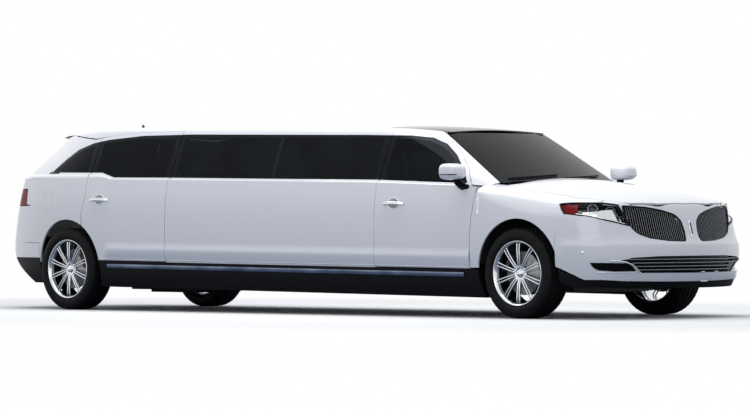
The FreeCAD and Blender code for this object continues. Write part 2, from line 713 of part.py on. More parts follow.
def plate_bracket():
    """Upright pad for a number plate, and the four holes for its screws."""
    pad = box((PLATE_FACE_X, -160, PLATE_CENTRE_Z - 80), (-3795, 160, PLATE_CENTRE_Z + 80))
    across, up = PLATE_HOLE_SPACING
    holes = []
    for side in (-1, 1):
        for level in (-1, 1):
            place = (PLATE_FACE_X + 60, side * across / 2, PLATE_CENTRE_Z + level * up / 2)
            holes.append(cylinder(place, FORWARD, PLATE_HOLE_RADIUS, 160))
    return pad, Part.makeCompound(holes)


def liftgate():
    """Rear lid hinged under the roof's trailing edge, with its window and plate bracket."""
    lower = LOWER_SIDE_SHELL.common(box((-4200, -900, 620), (-3300, 900, 1190)))
    upper = CABIN_FORM.cut(cabin(50)).common(box((-4200, -900, 1130), (-3050, 900, 1800)))
    gate = lower.fuse(upper).common(gate_region(0))
    gate = largest(gate.cut(front_prism(GATE_GLASS_VIEW, -4200, -3150)))
    pad, holes = plate_bracket()
    gate = gate.fuse(pad).cut(holes)
    x, z, half = GATE_HINGE_X, GATE_HINGE_Z, GATE_EYE_WIDTH / 2
    eyes = []
    for side in (-1, 1):
        y = side * GATE_HINGE_Y
        gate = gate.cut(cylinder((x, y, z), LEFT, GATE_EYE_RADIUS + 2, 2 * half + 20))
        eye = cylinder((x, y, z), LEFT, GATE_EYE_RADIUS, 2 * half)
        eye = eye.fuse(box((x - 30, y - half, z - 16), (x, y + half, z - 2)).cut(
            cylinder((x, y, z), LEFT, GATE_EYE_RADIUS - 1, 60)))
        eyes.append(eye.cut(cylinder((x, y, z), LEFT, GATE_PIN_RADIUS + RUNNING_CLEARANCE, 60)))
    return fused([gate] + eyes)


def liftgate_glass():
    view = grown_outline(GATE_GLASS_VIEW, -RUNNING_CLEARANCE)
    glass = cabin(3).cut(cabin(3 + GLASS_WALL)).common(front_prism(view, -4200, -3200))
    return largest(glass)


# Roof and windscreen ------------------------------------------------------------------------------

SCREEN_VIEW = [(-715, 1098), (-560, 1118), (560, 1118), (715, 1098), (592, 1552), (-592, 1552)]
ROOF_GLASS_PLAN = [(1000, -590), (1735, -580), (1735, 580), (1000, 590)]


def windscreen():
    view = grown_outline(SCREEN_VIEW, -RUNNING_CLEARANCE)
    return largest(cabin(2).cut(cabin(2 + GLASS_WALL)).common(front_prism(view, 1560, 3000)).cut(
        plan_prism([(1000, -700), (1742, -700), (1742, 700), (1000, 700)], 1400, 1700)))


def roof_frame():
    """Roof skin, cant rails and windscreen pillars, with the windscreen and roof glass openings."""
    gap = ROOF_GAP
    low = stretch_of(lifted(FRAME_TOP, gap), ROOF_REAR_EDGE[1][0] + gap, 1500)
    pillar = [(x + gap * 0.8, z + gap * 0.7) for x, z in FRAME_TOP if x > 1500]
    rear_x = GATE_FRONT_X + ROOF_REAR_GAP
    side = [(rear_x, ROOF_REAR_EDGE[0][1])] + ROOF_REAR_EDGE[1:] + low + pillar \
        + [(2242, 1094), (2366, 1086), (2366, 1040), (3000, 1040), (3000, 1800), (rear_x, 1800)]
    shell = CABIN_FORM.cut(cabin(SHEET_WALL)).common(side_prism(side, -1300, 1300))
    shell = shell.cut(front_prism(SCREEN_VIEW, 1735, 3000)).cut(plan_prism(ROOF_GLASS_PLAN, 1300, 1800))
    shell = largest(shell.cut(gate_region(PANEL_GAP)).cut(fore_body(-RUNNING_CLEARANCE)))
    for side in (-1, 1):
        centre = (GATE_HINGE_X, side * GATE_HINGE_Y, GATE_HINGE_Z)
        shell = shell.cut(cylinder(centre, LEFT, GATE_EYE_RADIUS + 2, GATE_EYE_WIDTH + 2))
    return fused([shell] + gate_brackets())


def roof_glass():
    plan = [(x + (0.5 if x < 1500 else -6), y * 0.999) for x, y in ROOF_GLASS_PLAN]
    return largest(cabin(2).cut(cabin(2 + GLASS_WALL)).common(plan_prism(plan, 1300, 1800)))


# Hinges -------------------------------------------------------------------------------------------
# A door turns about an upright pin that stands ahead of its front edge, just under the skin, so that the
# edge swings outside the panel ahead of it.

HINGE_Y = 938.0
HINGE_PIN_RADIUS = 4.0
HINGE_EYE_RADIUS = 7.0
HINGE_HALF_HEIGHT = 26.0
HINGE_PLATE = 7.0
FRONT_HINGE_HEIGHTS = (770.0, 890.0)
REAR_HINGE_HEIGHTS = (560.0, 880.0)
FRONT_HINGE_X = FRONT_DOOR_FRONT_X + 18
REAR_HINGE_X = REAR_DOOR_FRONT_X + 50
POCKET_DEPTH = 70.0


def hinge_lugs(hinge_x, edge, heights):
    """Door halves of the hinges: bent arms that reach round the edge of the panel ahead to the door's front face."""
    lugs = []
    half = HINGE_HALF_HEIGHT - HINGE_PLATE - 1
    for z in heights:
        reach = hinge_x - height_on([(zz, xx) for xx, zz in edge], z) + DOOR_SETBACK + 12
        eye = cylinder((hinge_x, -HINGE_Y, z), UP, HINGE_EYE_RADIUS, 2 * half)
        arm = [(7, 3), (-7, 3), (-18, 34), (-reach, 44), (-reach, 58), (-12, 52)]
        arm = plan_prism([(hinge_x + x, y - HINGE_Y) for x, y in arm], z - half, z + half)
        bore = cylinder((hinge_x, -HINGE_Y, z), UP, HINGE_PIN_RADIUS + RUNNING_CLEARANCE, 200)
        lugs.append(eye.fuse(arm).cut(bore))
    return lugs


def hinge_pins(hinge_x, heights):
    """Body halves of the hinges: a pin between two plates that run forwards into the pillar."""
    parts = []
    for z in heights:
        parts.append(cylinder((hinge_x, -HINGE_Y, z), UP, HINGE_PIN_RADIUS, 2 * HINGE_HALF_HEIGHT))
        for side in (-1, 1):
            middle = z + side * (HINGE_HALF_HEIGHT - HINGE_PLATE / 2)
            parts.append(box((hinge_x - 7, -HINGE_Y - 6, middle - HINGE_PLATE / 2),
                             (hinge_x + POCKET_DEPTH, -HINGE_Y + 50, middle + HINGE_PLATE / 2)))
    return parts


def hinge_pockets(hinge_x, rear_x, heights):
    """Room for the hinges in a pillar."""
    return [box((rear_x - 20, -HINGE_Y - 13, z - HINGE_HALF_HEIGHT - 1), (hinge_x + 30, -HINGE_Y + 150,
            z + HINGE_HALF_HEIGHT + 1)) for z in heights]


# Floor and running gear ---------------------------------------------------------------------------

FLOOR_Z = 235.0
FLOOR_SHEET = 12.0
FLOOR_HALF_WIDTH = 800.0
WHEEL_BAY_HALF_WIDTH = 440.0
REAR_FLOOR_Z = 560.0
RAIL_Y = 520.0
RAIL_SIZE = 70.0
FLOOR_REAR_X = REAR_AXLE_X + 440
FLOOR_FRONT_X = 2310.0
DASH_WALL_X = 2400.0


POST_FOOT_Z = 440.0
BULKHEAD_TOP_Z = 1020.0


def floor_pan():
    """Floor, its two long rails, the kick-up over the rear axle, the bulkhead and the front door posts."""
    sheet = FLOOR_SHEET
    floor = box((FLOOR_REAR_X, -FLOOR_HALF_WIDTH, FLOOR_Z), (FLOOR_FRONT_X, FLOOR_HALF_WIDTH, FLOOR_Z + sheet))
    step = box((FLOOR_REAR_X - sheet, -FLOOR_HALF_WIDTH, FLOOR_Z), (FLOOR_REAR_X, FLOOR_HALF_WIDTH, REAR_FLOOR_Z + sheet))
    deck = box((-3700, -590, REAR_FLOOR_Z), (FLOOR_REAR_X, 590, REAR_FLOOR_Z + sheet))
    toe = side_prism([(FLOOR_FRONT_X, FLOOR_Z), (DASH_WALL_X, 420), (DASH_WALL_X, BULKHEAD_TOP_Z), (DASH_WALL_X - sheet, BULKHEAD_TOP_Z),
                      (DASH_WALL_X - sheet, 425), (FLOOR_FRONT_X - sheet, FLOOR_Z + sheet)], -790, 790)
    shapes = [floor, step, deck, toe]
    for side in (-1, 1):
        y = side * RAIL_Y
        shapes.append(box((FLOOR_REAR_X, y - RAIL_SIZE / 2, FLOOR_Z - RAIL_SIZE + 20),
                          (FLOOR_FRONT_X - 20, y + RAIL_SIZE / 2, FLOOR_Z)))
        shapes.append(box((-3750, side * 400 - 30, REAR_FLOOR_Z - 60), (FLOOR_REAR_X - sheet, side * 400 + 30, REAR_FLOOR_Z)))
        shapes.append(box((DASH_WALL_X, side * 400 - 28, 400), (3780, side * 400 + 28, 480)))
        shapes.append(box((FLOOR_REAR_X, side * FLOOR_HALF_WIDTH - 30 * (side > 0), FLOOR_Z),
                          (FLOOR_FRONT_X, side * FLOOR_HALF_WIDTH + 30 * (side < 0), FLOOR_Z + 150)))
    beam = nose_shell(NOSE_WALL + RUNNING_CLEARANCE, 45).common(box((3400, -620, 400), (4000, 620, 480)))
    shapes.append(largest(beam))
    inside = main_body(DOOR_WALL + RUNNING_CLEARANCE)
    shapes.append(largest(inside.cut(main_body(DOOR_WALL + 45)).common(box((-4000, -560, 450), (-3500, 560, 530)))))
    load_floor = main_body(SIDE_WALL + PANEL_GAP + 1).common(box((-3700, -1000, 645), (-3190, 1000, 657)))
    shapes += [load_floor, box((-3202, -600, REAR_FLOOR_Z), (-3190, 600, 650)),
               box((-3712, -580, REAR_FLOOR_Z - 60), (-3700, 580, 650))]
    shapes += bonnet_brackets(DASH_WALL_X)
    cowl = fore_body(26).cut(fore_body(34)).common(box((DASH_WALL_X - sheet, -735, 1000), (2585, 735, 1200)))
    slots = [box((DASH_WALL_X, side * BONNET_HINGE_Y - 30, 900), (2600, side * BONNET_HINGE_Y + 30, 1200))
             for side in (-1, 1)]
    slots += [box((2500, side * 700 - 50, 900), (2600, side * 700 + 50, 1200)) for side in (-1, 1)]
    shapes += [cowl.cut(cabin(1).cut(cabin(10))).cut(slots),
               box((DASH_WALL_X - sheet, -735, BULKHEAD_TOP_Z - 5), (DASH_WALL_X, 735, 1062))]
    post = shell_of(lambda inset: main_body(inset + FENDER_WALL + RUNNING_CLEARANCE), 95)
    edge = [(x + HINGE_SIDE_GAP + 1, z) for x, z in FRONT_DOOR_EDGE[1:3]]
    post = post.common(right_slab([(2308, POST_FOOT_Z)] + edge + [(2361, 960), (2450, 960), (2450, POST_FOOT_Z)]))
    post = post.common(crowned(BONNET_STATIONS, FENDER_WALL + RUNNING_CLEARANCE))
    post = fused([post.cut(hinge_pockets(FRONT_HINGE_X, 2298, FRONT_HINGE_HEIGHTS))]
                 + hinge_pins(FRONT_HINGE_X, FRONT_HINGE_HEIGHTS))
    post = post.cut(FRONT_ARCH)
    web = box((DASH_WALL_X - sheet, -870, POST_FOOT_Z), (DASH_WALL_X, -780, 960))
    post = largest(post.fuse(web))
    shapes += [post, mirrored(post)]
    return fused(shapes)


def wheel_place(shape, x, side):
    """A wheel or hub piece made round the origin with its outside facing +Y, moved to its corner."""
    placed = shape if side > 0 else mirrored(shape)
    placed = placed.copy()
    placed.translate(Vector(x, side * TRACK / 2, TYRE_RADIUS))
    return placed


def turned(points):
    """Half profile (y, radius) turned about the wheel's axis."""
    wire = polygon([Vector(0, y, radius) for y, radius in points])
    return Part.Face(wire).revolve(Vector(0, 0, 0), LEFT, 360)


def tyre():
    bead = RIM_BEAD_RADIUS + RUNNING_CLEARANCE
    edge = TYRE_WIDTH / 2
    seat = RIM_WIDTH / 2 - 8 - RUNNING_CLEARANCE
    lip = RIM_FLANGE_RADIUS + RUNNING_CLEARANCE
    return turned([(-seat, bead), (-seat, lip), (-edge, 312), (-106, TYRE_RADIUS), (106, TYRE_RADIUS), (edge, 312),
                   (seat, lip), (seat, bead), (seat - 16, bead), (106, 340), (-106, 340), (16 - seat, bead)])


HUB_FACE_Y = 84.0


def rim():
    """Barrel, ten pairs of spokes, hub with its brake disc, and the stub axle that carries it."""
    half = RIM_WIDTH / 2
    bead, flange = RIM_BEAD_RADIUS, RIM_FLANGE_RADIUS
    barrel = turned([(half, flange), (half - 8, flange), (half - 8, bead), (8 - half, bead), (8 - half, flange),
                     (-half, flange), (-half, bead - 12), (half - 20, bead - 12)])
    hub = turned([(HUB_FACE_Y, 0), (HUB_FACE_Y, 66), (30, 78), (30, 0)])
    disc = turned([(40, 0), (40, BRAKE_DISC_RADIUS), (14, BRAKE_DISC_RADIUS), (14, 84), (-12, 84), (-12, 0)])
    stub = turned([(-12, 0), (-12, STUB_RADIUS), (-98, STUB_RADIUS), (-98, 0)])
    shapes = [barrel, hub, disc, stub]
    for pair in range(SPOKE_PAIRS):
        for lean in (-1, 1):
            wire = polygon([Vector(-6.5, 60, 50), Vector(-6.5, 96, 243), Vector(-6.5, 70, 243), Vector(-6.5, 34, 50)])
            spoke = Part.Face(wire).extrude(Vector(13, 0, 0))
            spoke.translate(Vector(lean * 12, 0, 0))
            spoke.rotate(Vector(0, 0, 0), LEFT, lean * 2.6 + pair * 360 / SPOKE_PAIRS)
            shapes.append(spoke)
    return fused(shapes)


KNUCKLE_U = KINGPIN_Y - TRACK / 2
BALL_RISE = 150.0
BALL_RADIUS = 11.0


def hub_carrier():
    """Bearing housing behind a wheel, with the caliper over the brake disc. Outside faces +Y."""
    carrier = turned([(-18, 0), (-18, 62), (-92, 62), (-92, 0)])
    caliper = box((-210, -14, -60), (-120, 66, 60)).cut(cylinder((0, 27, 0), LEFT, BRAKE_DISC_RADIUS + 6, 38))
    caliper = caliper.common(cylinder((0, 0, 0), LEFT, 214, 300))
    arm = box((-150, -40, -30), (-40, -18, 30))
    return carrier.fuse(caliper).fuse(arm)


def knuckle():
    """Steered hub carrier with an upper and a lower ball joint on the steering axis."""
    u = KNUCKLE_U
    upright = box((-28, u - 30, -BALL_RISE + 14), (28, u + 30, BALL_RISE - 14))
    shape = hub_carrier().fuse(upright)
    shape = shape.cut(cylinder((0, -60, 0), LEFT, STUB_RADIUS + RUNNING_CLEARANCE, 200))
    for side in (-1, 1):
        pin = cylinder((0, u, side * BALL_RISE), UP, BALL_RADIUS + RUNNING_CLEARANCE, 100)
        shape = shape.cut(pin)
    return largest(shape)


def subframes():
    """Front and rear cross members with their control arms; the rear one carries the rear hub carriers."""
    axle, pin_y = FRONT_AXLE_X, KINGPIN_Y
    hub_z = TYRE_RADIUS
    front = [box((axle - 190, -400, 205), (axle + 190, 400, 265)).cut(box((axle - 130, -330, 200), (axle + 130, 330, 270)))]
    for side in (-1, 1):
        y = side * 430
        front.append(box((axle - 190, min(side * 372, side * 460), 205), (axle + 190, max(side * 372, side * 460), 399.7)))
        front.append(box((axle - 60, min(side * 429, side * 460), 300), (axle + 60, max(side * 429, side * 460), 560)))
        for rise, foot in ((-BALL_RISE, 150), (BALL_RISE, 55)):
            z = hub_z + rise
            top = z + 11 if rise > 0 else z - 11
            plan = [(axle - foot, side * 440), (axle - 22, side * (pin_y + 6)), (axle + 22, side * (pin_y + 6)),
                    (axle + foot, side * 440)]
            front.append(plan_prism(plan, z - 11, z + 11))
            toward = -1 if rise > 0 else 1
            front.append(rod((axle, side * pin_y, z), (axle, side * pin_y, z + toward * 46), BALL_RADIUS))
    axle = REAR_AXLE_X
    rear = [box((axle - 170, -400, 300), (axle + 170, 400, 360)).cut(box((axle - 110, -340, 290), (axle + 110, 340, 370)))]
    for side in (-1, 1):
        rear.append(box((axle - 60, min(side * 380, side * 420), 340), (axle + 60, max(side * 380, side * 420), 500)))
        carrier = hub_carrier().cut(cylinder((0, -60, 0), LEFT, STUB_RADIUS + RUNNING_CLEARANCE, 200))
        rear.append(largest(wheel_place(carrier, axle, side)))
        inner, outer = side * 390, side * (TRACK / 2 - 70)
        for rise, foot in ((-90, 120), (80, 40)):
            z = hub_z + rise
            rear.append(plan_prism([(axle - foot, inner), (axle - 24, outer), (axle + 24, outer), (axle + foot, inner)],
                                   z - 12, z + 12))
            rear.append(box((axle - 24, min(outer, outer - side * 20), min(hub_z, z) ),
                            (axle + 24, max(outer, outer - side * 20), max(hub_z, z) )).cut(
                cylinder((axle, 0, hub_z), LEFT, 50, 3000)))
    return Part.makeCompound(fused(front).Solids + fused(rear).Solids)


def engine():
    return box((2620, -330, 300), (3300, 330, 860)).fuse(box((2700, -250, 265), (3200, 250, 310)))


EXHAUST_RADIUS = 32.0


def exhaust():
    """Muffler across the tail, its pipe along the tunnel, and the tail pipe."""
    bore = EXHAUST_RADIUS
    low = FLOOR_Z - bore - RUNNING_CLEARANCE
    route = [(2200, 120, low), (-2300, 120, low), (-2560, 260, 238), (-2910, 260, 238), (-3140, 260, 400)]
    pipes = [rod(start, end, bore) for start, end in zip(route, route[1:])]
    bends = [Part.makeSphere(bore, Vector(*point)) for point in route[1:-1]]
    muffler = box((-3420, -420, 330), (-3120, 420, 470))
    return fused(pipes + bends + [muffler, rod(TAIL_PIPE[0], TAIL_PIPE[1], TAIL_PIPE_RADIUS)])


def fuel_tank():
    return box((-2120, -460, 160), (-1500, 60, FLOOR_Z - RUNNING_CLEARANCE))


# Interior -----------------------------------------------------------------------------------------

def dashboard():
    """Dashboard across the cabin with the steering column and wheel on the left."""
    wall = DASH_WALL_X - FLOOR_SHEET
    panel = side_prism([(wall, 700), (wall, 1035), (2180, 1045), (2030, 960), (2060, 800), (2200, 700)], -780, 780)
    column = rod((2100, 370, 880), (1930, 370, 945), 30)
    hub = rod((1945, 370, 940), (1905, 370, 955), 45)
    ring = turned([(-12, 170), (-12, 184), (0, 191), (12, 184), (12, 170), (0, 163)])
    ring.rotate(Vector(0, 0, 0), Vector(0, 0, 1), 90)
    ring.rotate(Vector(0, 0, 0), LEFT, 21)
    ring.translate(Vector(1925, 370, 947))
    spoke = box((1915, 200, 938), (1935, 540, 958))
    return fused([panel, column, hub, spoke, ring])


def front_seats():
    seats = []
    for side in (-1, 1):
        y = side * 370
        outline_points = [(1300, 380), (1840, 400), (1850, 560), (1460, 530), (1330, 1120), (1220, 1110), (1290, 540)]
        seats.append(side_prism(outline_points, y - 245, y + 245))
        seats.append(box((1350, y - 200, FLOOR_Z + FLOOR_SHEET), (1780, y + 200, 420)))
    return Part.makeCompound([fused(seats[:2]), fused(seats[2:])])


PARTITION_X = 1070.0


def partition():
    foot = FLOOR_Z + FLOOR_SHEET
    half = [(765, foot), (765, 400), (810, 440), (810, 1050), (700, 1450)]
    wall = front_prism(half + [(-y, z) for y, z in half[::-1]], PARTITION_X, PARTITION_X + 50)
    return wall.cut(box((PARTITION_X - 5, -520, 1020), (PARTITION_X + 60, 520, 1380)))


def cabin_bench():
    """Rear bench across the cabin and the long bench down the left side, as one L-shaped seat."""
    foot = FLOOR_Z + FLOOR_SHEET
    back = side_prism([(-2200, foot), (-1560, foot), (-1560, 620), (-1980, 600), (-2090, 1080), (-2200, 1070)],
                      -765, 765)
    side_seat = front_prism([(280, foot), (765, foot), (765, 1060), (690, 1060), (660, 600), (280, 620)], -1560, 560)
    return back.fuse(side_seat)


# Doors' small pieces ------------------------------------------------------------------------------

def mirror_head():
    """Door mirror: a shell on a short arm."""
    head = side_prism([(2010, 1050), (2190, 1030), (2215, 1110), (2150, 1180), (2040, 1180), (2005, 1120)], -1165, -960)
    head = head.common(plan_prism([(1990, -955), (2230, -955), (2200, -1120), (2120, -1170), (2000, -1170)], 1000, 1250))
    arm = box((2080, -975, 1060), (2160, -915, 1095))
    return head.fuse(arm).cut(lofted(LOWER_LEVELS, 0))


def fuel_door():
    flap = shell_of(main_body, FUEL_DOOR_WALL).common(right_slab(fuel_outline(0)))
    return largest(flap)


def build():
    right_doors = {
        "front_door": front_door().fuse(hinge_lugs(FRONT_HINGE_X, FRONT_DOOR_EDGE, FRONT_HINGE_HEIGHTS)),
        "rear_door": rear_door().fuse(hinge_lugs(REAR_HINGE_X, REAR_DOOR_FRONT_LINE, REAR_HINGE_HEIGHTS)),
    }
    for name, shape in right_doors.items():
        keep(name + "_right", shape)
        keep(name + "_left", mirrored(shape))
        glass = largest(pane(name))
        keep(name + "_glass_right", glass)
        keep(name + "_glass_left", mirrored(glass))
    mirror = mirror_head()
    keep("mirror_right", mirror)
    keep("mirror_left", mirrored(mirror))
    stretch = stretch_panel().cut(hinge_pockets(REAR_HINGE_X, REAR_DOOR_FRONT_X, REAR_HINGE_HEIGHTS))
    stretch = fused([stretch] + hinge_pins(REAR_HINGE_X, REAR_HINGE_HEIGHTS))
    keep("stretch_panels", both_sides(stretch))
    quarter = quarter_panel()
    keep("quarter_panels", Part.makeCompound([quarter.cut(fuel_pocket()), mirrored(quarter)]))
    keep("rocker_panels", both_sides(rocker_panel()))
    keep("front_fenders", both_sides(front_fender()))
    fixed = [largest(pane(name)) for name in ("quarter", "stretch_rear", "stretch_front")]
    keep("tinted_glass", Part.makeCompound(fixed + [mirrored(g) for g in fixed] + [roof_glass()]))
    keep("headlamps", both_sides(largest(headlamp())))
    keep("tail_lamps", both_sides(tail_lamp()))
    singles = (bonnet, front_bumper, grille, rear_bumper, liftgate, liftgate_glass, windscreen, roof_frame, floor_pan,
               subframes, engine, exhaust, fuel_tank, dashboard, front_seats, partition, cabin_bench, fuel_door)
    for make in singles:
        keep(make.__name__, make())
    tyre_shape, rim_shape, knuckle_shape = tyre(), rim(), knuckle()
    for end, x in (("front", FRONT_AXLE_X), ("rear", REAR_AXLE_X)):
        for side_name, side in (("right", -1), ("left", 1)):
            keep(f"tyre_{end}_{side_name}", wheel_place(tyre_shape, x, side))
            keep(f"rim_{end}_{side_name}", wheel_place(rim_shape, x, side))
            if end == "front":
                keep(f"knuckle_{side_name}", wheel_place(knuckle_shape, x, side))


build()
os.makedirs("parts", exist_ok=True)
for node_name, node_shape in nodes.items():
    node_shape.exportStep(f"parts/{node_name}.step")
print(len(nodes), "nodes")
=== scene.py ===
# %% [markdown]
# # A stretch limousine, dressed for its portrait
# The frame below comes from the engineering model: every panel, wheel and seat is already at its real size
# and place. This lesson puts the finish on it. Painted sheet metal only looks right when its reflections run
# smoothly, so the body is drawn again here as fine skins over the engineering parts.

# %% Load the frame
import math

import bmesh
import bpy
import numpy as np
from mathutils import Matrix, Vector
from mathutils.geometry import delaunay_2d_cdt


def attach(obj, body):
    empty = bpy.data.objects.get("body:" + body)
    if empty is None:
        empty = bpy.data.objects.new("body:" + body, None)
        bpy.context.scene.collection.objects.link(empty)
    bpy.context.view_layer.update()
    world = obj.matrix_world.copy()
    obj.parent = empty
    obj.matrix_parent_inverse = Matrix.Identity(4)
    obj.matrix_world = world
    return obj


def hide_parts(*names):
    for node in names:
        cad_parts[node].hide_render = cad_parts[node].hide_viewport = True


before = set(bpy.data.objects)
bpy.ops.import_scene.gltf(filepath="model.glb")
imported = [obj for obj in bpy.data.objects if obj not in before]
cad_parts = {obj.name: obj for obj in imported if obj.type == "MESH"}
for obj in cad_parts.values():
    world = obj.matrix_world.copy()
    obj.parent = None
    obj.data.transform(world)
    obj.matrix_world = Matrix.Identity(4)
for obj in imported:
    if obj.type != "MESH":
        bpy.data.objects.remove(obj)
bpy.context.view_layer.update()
MM = 0.001

# %% [markdown]
# ## The camera
# A long lens far away keeps the long body from bulging. The camera stands a little below the roof, looks
# level along the side at 45 degrees, and has a slight roll, so it is set from its own three axes and not with
# a tracking constraint.

# %% Set the camera
CAMERA_TURN, CAMERA_RISE, CAMERA_ROLL = math.radians(44.7467), math.radians(-0.1308), math.radians(-0.2192)
CAMERA_AIM = Vector((0.2688, 0.0, 0.9322))
CAMERA_DISTANCE = 36.0
LEVEL = math.cos(CAMERA_RISE)
backward = Vector((math.sin(CAMERA_TURN) * LEVEL, -math.cos(CAMERA_TURN) * LEVEL,
                   math.sin(CAMERA_RISE)))
level_right = Vector((0, 0, 1)).cross(backward).normalized()
level_up = backward.cross(level_right)
camera_right = level_right * math.cos(CAMERA_ROLL) + level_up * math.sin(CAMERA_ROLL)
camera_up = backward.cross(camera_right)
camera_data = bpy.data.cameras.new("camera")
camera_data.lens = 198.72
camera_data.clip_end = 200.0
camera = bpy.data.objects.new("camera", camera_data)
bpy.context.scene.collection.objects.link(camera)
axes = Matrix((camera_right, camera_up, backward)).transposed().to_4x4()
camera.matrix_world = Matrix.Translation(CAMERA_AIM + backward * CAMERA_DISTANCE) @ axes
bpy.context.scene.camera = camera
print("camera at", [round(v, 3) for v in camera.matrix_world.translation])

# %% [markdown]
# ## The outlines of the body
# Designers draw a car body as a stack of outlines seen from above. Each outline here is a straight side that
# runs into a long taper arc, a corner arc and a shallow bow across the nose or the tail. The same arcs are in
# the engineering model, so the skins land on it. Only the cabin's tail is drawn a little fuller and the roof's
# rear end a little lower than there. Sizes in these tables are in millimetres.

# %% Outlines of the lower body and the cabin
NOSE_X, TAIL_X, HALF_WIDTH = 3906.5, -3906.5, 963.0
# Columns: height, half width, nose (x, bow, corner, taper start, taper), tail (the same five).
LOWER_LEVELS = [
    (180, 893, NOSE_X - 135, 1790, 400, 2750, 5500, TAIL_X + 400, 2200, 300, -2600, 2600),
    (300, 930, NOSE_X - 45, 1790, 400, 2750, 5500, TAIL_X + 185, 2200, 300, -2600, 2600),
    (430, 948, NOSE_X - 10, 1790, 400, 2750, 5500, TAIL_X + 10, 2200, 300, -2600, 2600),
    (560, HALF_WIDTH - 5, NOSE_X, 1790, 400, 2750, 5500, TAIL_X, 2200, 300, -2600, 2600),
    (760, HALF_WIDTH, NOSE_X - 50, 1790, 400, 2750, 5500, TAIL_X + 60, 2200, 300, -2600, 2600),
    (960, HALF_WIDTH - 10, NOSE_X - 112, 1790, 400, 2700, 5200, TAIL_X + 120, 2200, 300, -2600, 2600),
    (1170, HALF_WIDTH - 42, NOSE_X - 235, 1790, 400, 2600, 5000, TAIL_X + 180, 2200, 300, -2600, 2600),
]
CABIN_LEVELS = [
    (1000, 930, 2807, 1900, 90, 2020, 1600, -3850, 2200, 260, -2580, 2500),
    (1150, 889, 2528, 1900, 85, 1790, 1650, -3757, 2200, 260, -2550, 2400),
    (1320, 830, 2215, 1900, 75, 1480, 1700, -3605, 2200, 250, -2430, 2100),
    (1500, 757, 1885, 1900, 65, 1150, 1700, -3500, 2200, 250, -2360, 1600),
    (1680, 672, 1540, 1900, 60, 800, 1700, -3390, 2200, 240, -2250, 1500),
]
RAKE = math.atan(0.010)
RAKE_Z = 560.0
ARC_STEPS = (26, 20, 36, 150, 36, 20, 26)


def arc(centre, start, end, steps):
    """Points along the shorter arc round the centre, from the start up to but not including the end."""
    first = math.atan2(start[1] - centre[1], start[0] - centre[0])
    last = math.atan2(end[1] - centre[1], end[0] - centre[0])
    turn = (last - first + math.pi) % (2 * math.pi) - math.pi
    radius = math.hypot(start[0] - centre[0], start[1] - centre[1])
    angles = first + turn * np.arange(steps) / steps
    return np.stack([centre[0] + radius * np.cos(angles), centre[1] + radius * np.sin(angles)], 1)


def end_arcs(side, half_width, end_x, bow, corner, taper_x, taper, steps):
    """One end of an outline: bow, corner and taper, from the centre line back to the straight side."""
    taper_centre = np.array([taper_x, half_width - taper])
    bow_centre = np.array([end_x - side * bow, 0.0])
    between = bow_centre - taper_centre
    gap = np.hypot(*between)
    to_corner = taper - corner
    along = (to_corner ** 2 - (bow - corner) ** 2 + gap ** 2) / (2 * gap)
    across = math.sqrt(to_corner ** 2 - along ** 2)
    ahead = between / gap
    sideways = np.array([side * abs(ahead[1]), abs(ahead[0])])
    if ahead[0] * ahead[1] * side > 0:
        sideways[0] = -sideways[0]
    corner_centre = taper_centre + ahead * along + sideways * across
    to_taper, to_bow = corner_centre - taper_centre, corner_centre - bow_centre
    taper_end = taper_centre + to_taper / np.hypot(*to_taper) * taper
    corner_end = bow_centre + to_bow / np.hypot(*to_bow) * bow
    tip, taper_start = np.array([end_x, 0.0]), np.array([taper_x, half_width])
    return [arc(bow_centre, tip, corner_end, steps[0]), arc(corner_centre, corner_end, taper_end, steps[1]),
            arc(taper_centre, taper_end, taper_start, steps[2]), taper_start[None, :]]


def half_outline(level):
    """The left half of one outline, from the tip of the nose to the middle of the tail."""
    nose = np.concatenate(end_arcs(1, level[1], *level[2:7], ARC_STEPS[:3]))
    tail = np.concatenate(end_arcs(-1, level[1], *level[7:12], ARC_STEPS[:3:-1]))[::-1]
    blend = np.linspace(0, 1, ARC_STEPS[3])[1:-1, None]
    side = nose[-1] * (1 - blend) + tail[0] * blend
    return np.concatenate([nose, side, tail])


def spline_weights(knots, samples):
    """Weights that turn values at the knots into a natural cubic spline's values at the samples."""
    knots, samples = np.asarray(knots, float), np.asarray(samples, float)
    count, gap = len(knots), np.diff(knots)
    system, right = np.zeros((count, count)), np.zeros((count, count))
    system[0, 0] = system[-1, -1] = 1
    for i in range(1, count - 1):
        system[i, i - 1:i + 2] = gap[i - 1], 2 * (gap[i - 1] + gap[i]), gap[i]
        right[i, i - 1:i + 2] = 6 / gap[i - 1], -6 / gap[i - 1] - 6 / gap[i], 6 / gap[i]
    bend = np.linalg.solve(system, right)
    k = np.clip(np.searchsorted(knots, samples) - 1, 0, count - 2)
    width, unit = gap[k], np.eye(count)
    a, b = (knots[k + 1] - samples) / width, (samples - knots[k]) / width
    curve = ((a ** 3 - a) * width ** 2 / 6)[:, None] * bend[k]
    curve = curve + ((b ** 3 - b) * width ** 2 / 6)[:, None] * bend[k + 1]
    return a[:, None] * unit[k] + b[:, None] * unit[k + 1] + curve


def leaned(points):
    """Points tipped with the rake of the body: the nose sits lower than the tail."""
    x, y, z = points[..., 0], points[..., 1], points[..., 2] - RAKE_Z
    ahead = x * math.cos(RAKE) + z * math.sin(RAKE)
    return np.stack([ahead, y, RAKE_Z + z * math.cos(RAKE) - x * math.sin(RAKE)], -1)


def stacked(levels, heights):
    """Grid of points over the outlines: first index round the body, second index up."""
    outlines = np.stack([half_outline(level) for level in levels])
    weights = spline_weights([level[0] for level in levels], heights)
    flat = np.einsum("vk,kuc->uvc", weights, outlines)
    tall = np.broadcast_to(np.asarray(heights, float)[None, :, None], flat.shape[:2] + (1,))
    return leaned(np.concatenate([flat, tall], 2))


